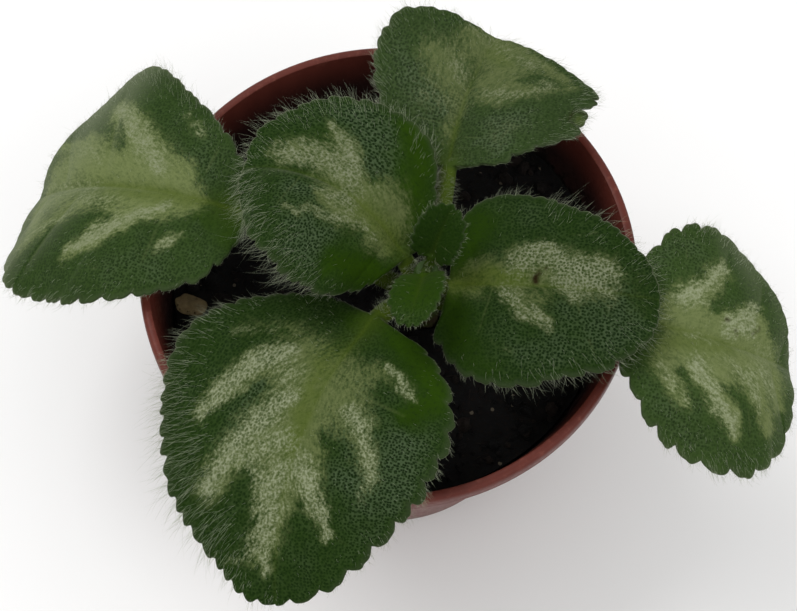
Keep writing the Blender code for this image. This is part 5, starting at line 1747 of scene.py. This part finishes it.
def leaf_marks(name, form, values):
    """Named values that the leaf's material reads."""
    s, t, u, v, under = (values[key] for key in ("s", "t", "u", "v", "under"))
    top, blade = 1.0 - under, u > 0.0
    strokes = MARKINGS.get(name, {})
    mark = {key: painted(strokes.get(key, ()), s, t, SPREAD.get(key, PLAIN_SPREAD)) for key in MARKING_KINDS}
    halo = painted(strokes.get("silver", ()), s, t, HALO_SPREAD)
    near = np.exp(-((t / (0.3 + 0.4 * np.clip(1.0 - u, 0.0, 1.0))) ** 2)) * np.clip(1.15 - u, 0.0, 1.0) * 0.6
    broad = np.exp(-((t / 2.4) ** 2)) * smoothstep(1.0 - u / 0.35) * 0.4
    rib = np.maximum(np.maximum(near, broad), (s < 0.0) * (u <= 0.0) * 0.8)
    away = np.abs(t)
    marks = {
        "silver": (0.68 * mark["silver"] ** 1.5 + 0.32 * halo) * (1.0 - 0.5 * mark["dark"]) * top,
        "wash": np.maximum(mark["wash"], 0.75 * halo) * (1.0 - 0.8 * mark["dark"]) * top,
        "olive": mark["olive"],
        "fresh": mark["fresh"],
        "rib": rib * (0.4 if form.young else 1.0),
        "under": under,
        "scar": mark["scar"] * top,
        "pitted": ((0.0 if form.young else 0.42) + 0.58 * mark["pits"]) * smoothstep((1.0 - v) / 0.1) * blade,
        "phase": values["phase"] + 2.0,
        "inner": smoothstep(v / 0.1) * smoothstep((0.92 - v) / 0.3) * blade * top,
        "edge": smoothstep((v - 0.93) / 0.07) * blade,
        # velvet: strength of the painted hair sheen where the blade turns away from view
        "velvet": np.full(len(s), 0.2 if form.young else 1.0),
    }
    # Per-leaf values; the fourth is the strength of an even painted sheen of hairs on the blade's top
    for key, value in zip(("light", "glow", "shine", "sheen_mist", "deep"), form.leaf["light"]):
        marks[key] = np.full(len(s), value) * (top if key == "sheen_mist" else 1.0)
    lay = np.stack([0.75 * s + 0.66 * away, 0.75 * away - 0.66 * s, t], -1)
    return marks | {"plan": np.stack([s, t, 0.0 * s], -1), "lay": lay}


def on_grid(grid, i, j, a, b):
    """Values of a grid inside its cells."""
    a, b = (x.reshape(x.shape + (1,) * (grid.ndim - 2)) for x in (a, b))
    near = grid[i, j] * (1 - b) + grid[i, j + 1] * b
    far = grid[i + 1, j] * (1 - b) + grid[i + 1, j + 1] * b
    return near * (1 - a) + far * a


def leaf_hairs(form, upper, stalk, settings, rng):
    """Hairs combed over the blade, margin hairs, and hairs on the stalk and the underside."""
    p, n, v, u, t = upper["p"], upper["n"], upper["v"], upper["u"], upper["t"]
    middle = p.shape[1] // 2
    out = unit(np.gradient(p, axis=1))
    out[:, :middle] *= -1.0
    ahead = unit(np.gradient(p, axis=0) + 1e-9)
    radius, short = settings.radius / MM, settings.short / MM
    left, right, tip, share = form.leaf["hairs"]
    longest = settings.length / MM * np.where(t > 0.0, left, right)
    longest = longest * (0.25 + 0.75 * smoothstep((u - 0.15) / 0.35))
    longest = longest * (1.0 + (tip - 1.0) * smoothstep((u - 0.62) / 0.3))
    inside = (1.0 - v) * np.abs(t[:, [0, -1]]).max(1)[:, None]
    near = smoothstep((2.2 * longest + 1.0 - inside) / 4.0)
    parts = []
    # Blade: denser and longer towards the margin
    cell = np.linalg.norm(np.cross(p[1:, :-1] - p[:-1, :-1], p[:-1, 1:] - p[:-1, :-1]), axis=-1)
    weight = (cell * (0.1 + 0.9 * near[:-1, :-1] * np.minimum(1.0, longest[:-1, :-1] / 2.0))).ravel()
    count = int(weight.sum() * settings.density * share)
    chosen = rng.choice(len(weight), count, p=weight / weight.sum())
    i, j = np.unravel_index(chosen, cell.shape)
    a, b = rng.uniform(0, 1, count), rng.uniform(0, 1, count)
    root, up, comb, fore = (on_grid(g, i, j, a, b) for g in (p, n, out, ahead))
    close, reach = on_grid(near, i, j, a, b), on_grid(longest, i, j, a, b)
    stand = np.radians(rng.normal(50.0, 9.0, count) - 26.0 * close)[:, None]
    lie = unit(comb + fore * rng.normal(0.3, 0.22, count)[:, None] + rng.normal(0, 0.1, (count, 3)))
    way = unit(lie * np.cos(stand) + up * np.sin(stand))
    drift = lie * 0.25 - up * rng.uniform(0.15, 0.45, count)[:, None] + rng.normal(0, 0.15, (count, 3))
    length = (short + np.maximum(reach - short, 0.0) * close**1.5) * rng.uniform(0.6, 1.15, count)
    parts.append(hair_tubes(root - 0.05 * up, way, drift, length, radius * rng.uniform(0.6, 1.0, count), 3))
    # Margins: a fringe that stands out from the edge
    for column in (0, -1):
        line = p[:, column]
        run = np.concatenate([[0.0], np.cumsum(np.linalg.norm(np.diff(line, axis=0), axis=1))])
        count = int(run[-1] / (settings.pitch / MM) * (1.3 if form.young else 1.0))
        at = np.interp(rng.uniform(0, run[-1], count), run, np.arange(len(run)))
        k = np.clip(at.astype(int), 0, len(run) - 2)
        f = (at - k)[:, None]
        root = line[k] * (1 - f) + line[k + 1] * f
        up = n[k, column]
        comb = out[k, EDGE_STEPS + 2 if column == 0 else -EDGE_STEPS - 3]
        fore = ahead[k, column]
        lie = unit(comb + fore * rng.normal(0.4, 0.25, count)[:, None] + rng.normal(0, 0.1, (count, 3)))
        way = unit(lie + up * rng.normal(0.1, 0.3, count)[:, None])
        drift = fore * rng.normal(0.2, 0.28, count)[:, None] + up * rng.normal(0.02, 0.25, count)[:, None]
        length = longest[k, column] * rng.uniform(0.45, 1.25, count)
        thick = radius * rng.uniform(0.7, 1.1, count)
        parts.append(hair_tubes(root - 0.1 * lie, way, drift, length, thick, 4))
    # Stalk
    centres = stalk.mean(1)
    per_length, most = STALK_HAIRS
    count = int(min(most, per_length * form.petiole) * (0.3 if form.young else 1.0)) + 10
    i = rng.integers(0, len(stalk) - 1, count)
    j = rng.integers(0, stalk.shape[1], count)
    f = rng.uniform(0, 1, count)[:, None]
    root = stalk[i, j] * (1 - f) + stalk[i + 1, j] * f
    axis = centres[i] * (1 - f) + centres[i + 1] * f
    way = unit(unit(root - axis) + rng.normal(0, 0.25, (count, 3)))
    drift = rng.normal(0, 0.16, (count, 3))
    length = rng.uniform(0.6, 1.8, count) * (0.4 if form.young else 1.0)
    parts.append(hair_tubes(root, way, drift, length, radius * rng.uniform(0.6, 1.0, count), 3))
    # Underside: short and sparse
    weight = cell.ravel()
    count = int(weight.sum() * settings.density * 0.3)
    chosen = rng.choice(len(weight), count, p=weight / weight.sum())
    i, j = np.unravel_index(chosen, cell.shape)
    half = 2.0 * form.leaf.get("half", BLADE_HALF)
    root = p[i, j] - n[i, j] * half * (v[i, j] < 0.97)[:, None]
    way = unit(-n[i, j] + 0.6 * out[i, j] + rng.normal(0, 0.25, (count, 3)))
    drift = 0.2 * out[i, j] + rng.normal(0, 0.1, (count, 3))
    length = rng.uniform(0.5, 1.1, count) * (0.4 if form.young else 1.0)
    parts.append(hair_tubes(root, way, drift, length, radius + 0 * length, 2))
    return joined(parts)


class PRIMULINA_OT_leaves(bpy.types.Operator):
    """Model every leaf with its stalk, relief, silver feathers and hairs"""

    bl_idname = "primulina.add_leaves"
    bl_label = "Add leaves"

    def execute(self, context):
        settings = context.scene.primulina
        finish = leaf_finish(settings.leaf)
        for name, leaf in LEAVES.items():
            form, points, faces, values, upper, stalk = leaf_shape(leaf, settings.leaf)
            blade = piece_from(name + "_blade", points, faces, leaf_marks(name, form, values))
            bm = bmesh.new()
            bm.from_mesh(blade.data)
            loose = [v for v in bm.verts if not v.link_faces]
            bmesh.ops.delete(bm, geom=loose, context="VERTS")
            bmesh.ops.recalc_face_normals(bm, faces=bm.faces[:])
            bm.to_mesh(blade.data)
            bm.free()
            blade.data.shade_smooth()
            finish_piece(blade, finish, name)
            rng = np.random.default_rng(leaf["seed"] + HAIR_SEED)
            hairs = leaf_hairs(form, upper, stalk, settings.hair, rng)
            hair_piece(name + "_hairs", hairs, settings.hair)
        return {"FINISHED"}


# Stage


class PRIMULINA_OT_stage(bpy.types.Operator):
    """Set up the pale floor, the soft light and the camera"""

    bl_idname = "primulina.add_stage"
    bl_label = "Add stage"

    def execute(self, context):
        settings = context.scene.primulina.stage
        clear_selection()
        bpy.ops.mesh.primitive_plane_add(size=FLOOR_SIZE, location=(0.0, 0.0, 0.0))
        floor = settle(context.object, "floor")
        made, s, shader, place = new_finish("pale_floor", 0.8, 0.2)
        fleck = s.ramp(s.noise(place, 12.0, 3.0), 0.3, 0.7)
        s.feed(shader["Base Color"], s.mix(fleck, toned(settings.floor, 0.985), settings.floor))
        floor.data.materials.append(made)
        world = bpy.data.worlds.new("soft_sky")
        world.use_nodes = True
        sky = world.node_tree.nodes["Background"].inputs
        sky["Color"].default_value = (1.0, 1.0, 1.0, 1.0)
        sky["Strength"].default_value = settings.sky
        context.scene.world = world
        target = Vector((0.0, 0.0, LIGHT_AIM))
        for name, (spot, size, share) in LIGHTS.items():
            bpy.ops.object.light_add(type="AREA", location=spot)
            light = context.object
            light.name = name
            light.data.shape = "DISK"
            light.data.size = size
            light.data.energy = share * settings.key
            light.rotation_euler = (target - light.location).to_track_quat("-Z", "Y").to_euler()
        tilt = settings.tilt
        right, down = Vector((1.0, 0.0, 0.0)), Vector((0.0, -math.sin(tilt), -math.cos(tilt)))
        ahead = Vector((0.0, math.cos(tilt), -math.sin(tilt)))
        spot = Vector((0.0, 0.0, POT_HEIGHT)) + CAMERA_SHIFT[0] * right + CAMERA_SHIFT[1] * down
        spot -= CAMERA_DISTANCE * ahead
        bpy.ops.object.camera_add(location=spot * MM, rotation=(math.pi / 2 - tilt, 0.0, 0.0))
        camera = context.object
        camera.name = "photo_camera"
        camera.data.lens = settings.lens
        camera.data.sensor_width = 36.0
        camera.data.clip_start = 0.01
        context.scene.camera = camera
        context.scene.view_settings.view_transform = "Standard"
        return {"FINISHED"}


class PRIMULINA_PT_panel(bpy.types.Panel):
    """Lists the plant's pieces in the sidebar"""

    bl_idname = "PRIMULINA_PT_panel"
    bl_label = "Potted primulina"
    bl_space_type = "VIEW_3D"
    bl_region_type = "UI"
    bl_category = "Primulina"

    def draw(self, context):
        settings = context.scene.primulina
        for operator, names in PIECES:
            self.layout.operator(operator.bl_idname)
            for name in names:
                group = getattr(settings, name)
                column = self.layout.column(align=True)
                for key in group.__annotations__:
                    column.prop(group, key)


# Each operator with the names of the settings that its piece is made from
PIECES = (
    (PRIMULINA_OT_pot, ("pot",)),
    (PRIMULINA_OT_soil, ("soil",)),
    (PRIMULINA_OT_crumbs, ()),
    (PRIMULINA_OT_pumice, ()),
    (PRIMULINA_OT_stem, ()),
    (PRIMULINA_OT_leaves, ("leaf", "hair")),
    (PRIMULINA_OT_stage, ("stage",)),
)
CLASSES = (
    PotSettings,
    SoilSettings,
    LeafSettings,
    HairSettings,
    StageSettings,
    PrimulinaSettings,
    PRIMULINA_PT_panel,
) + tuple(operator for operator, names in PIECES)


def register():
    for item in CLASSES:
        bpy.utils.register_class(item)
    bpy.types.Scene.primulina = PointerProperty(type=PrimulinaSettings)


def unregister():
    del bpy.types.Scene.primulina
    for item in reversed(CLASSES):
        bpy.utils.unregister_class(item)


def main():
    register()
    for operator, _ in PIECES:
        family, name = operator.bl_idname.split(".")
        getattr(getattr(bpy.ops, family), name)()


if __name__ == "__main__":
    main()
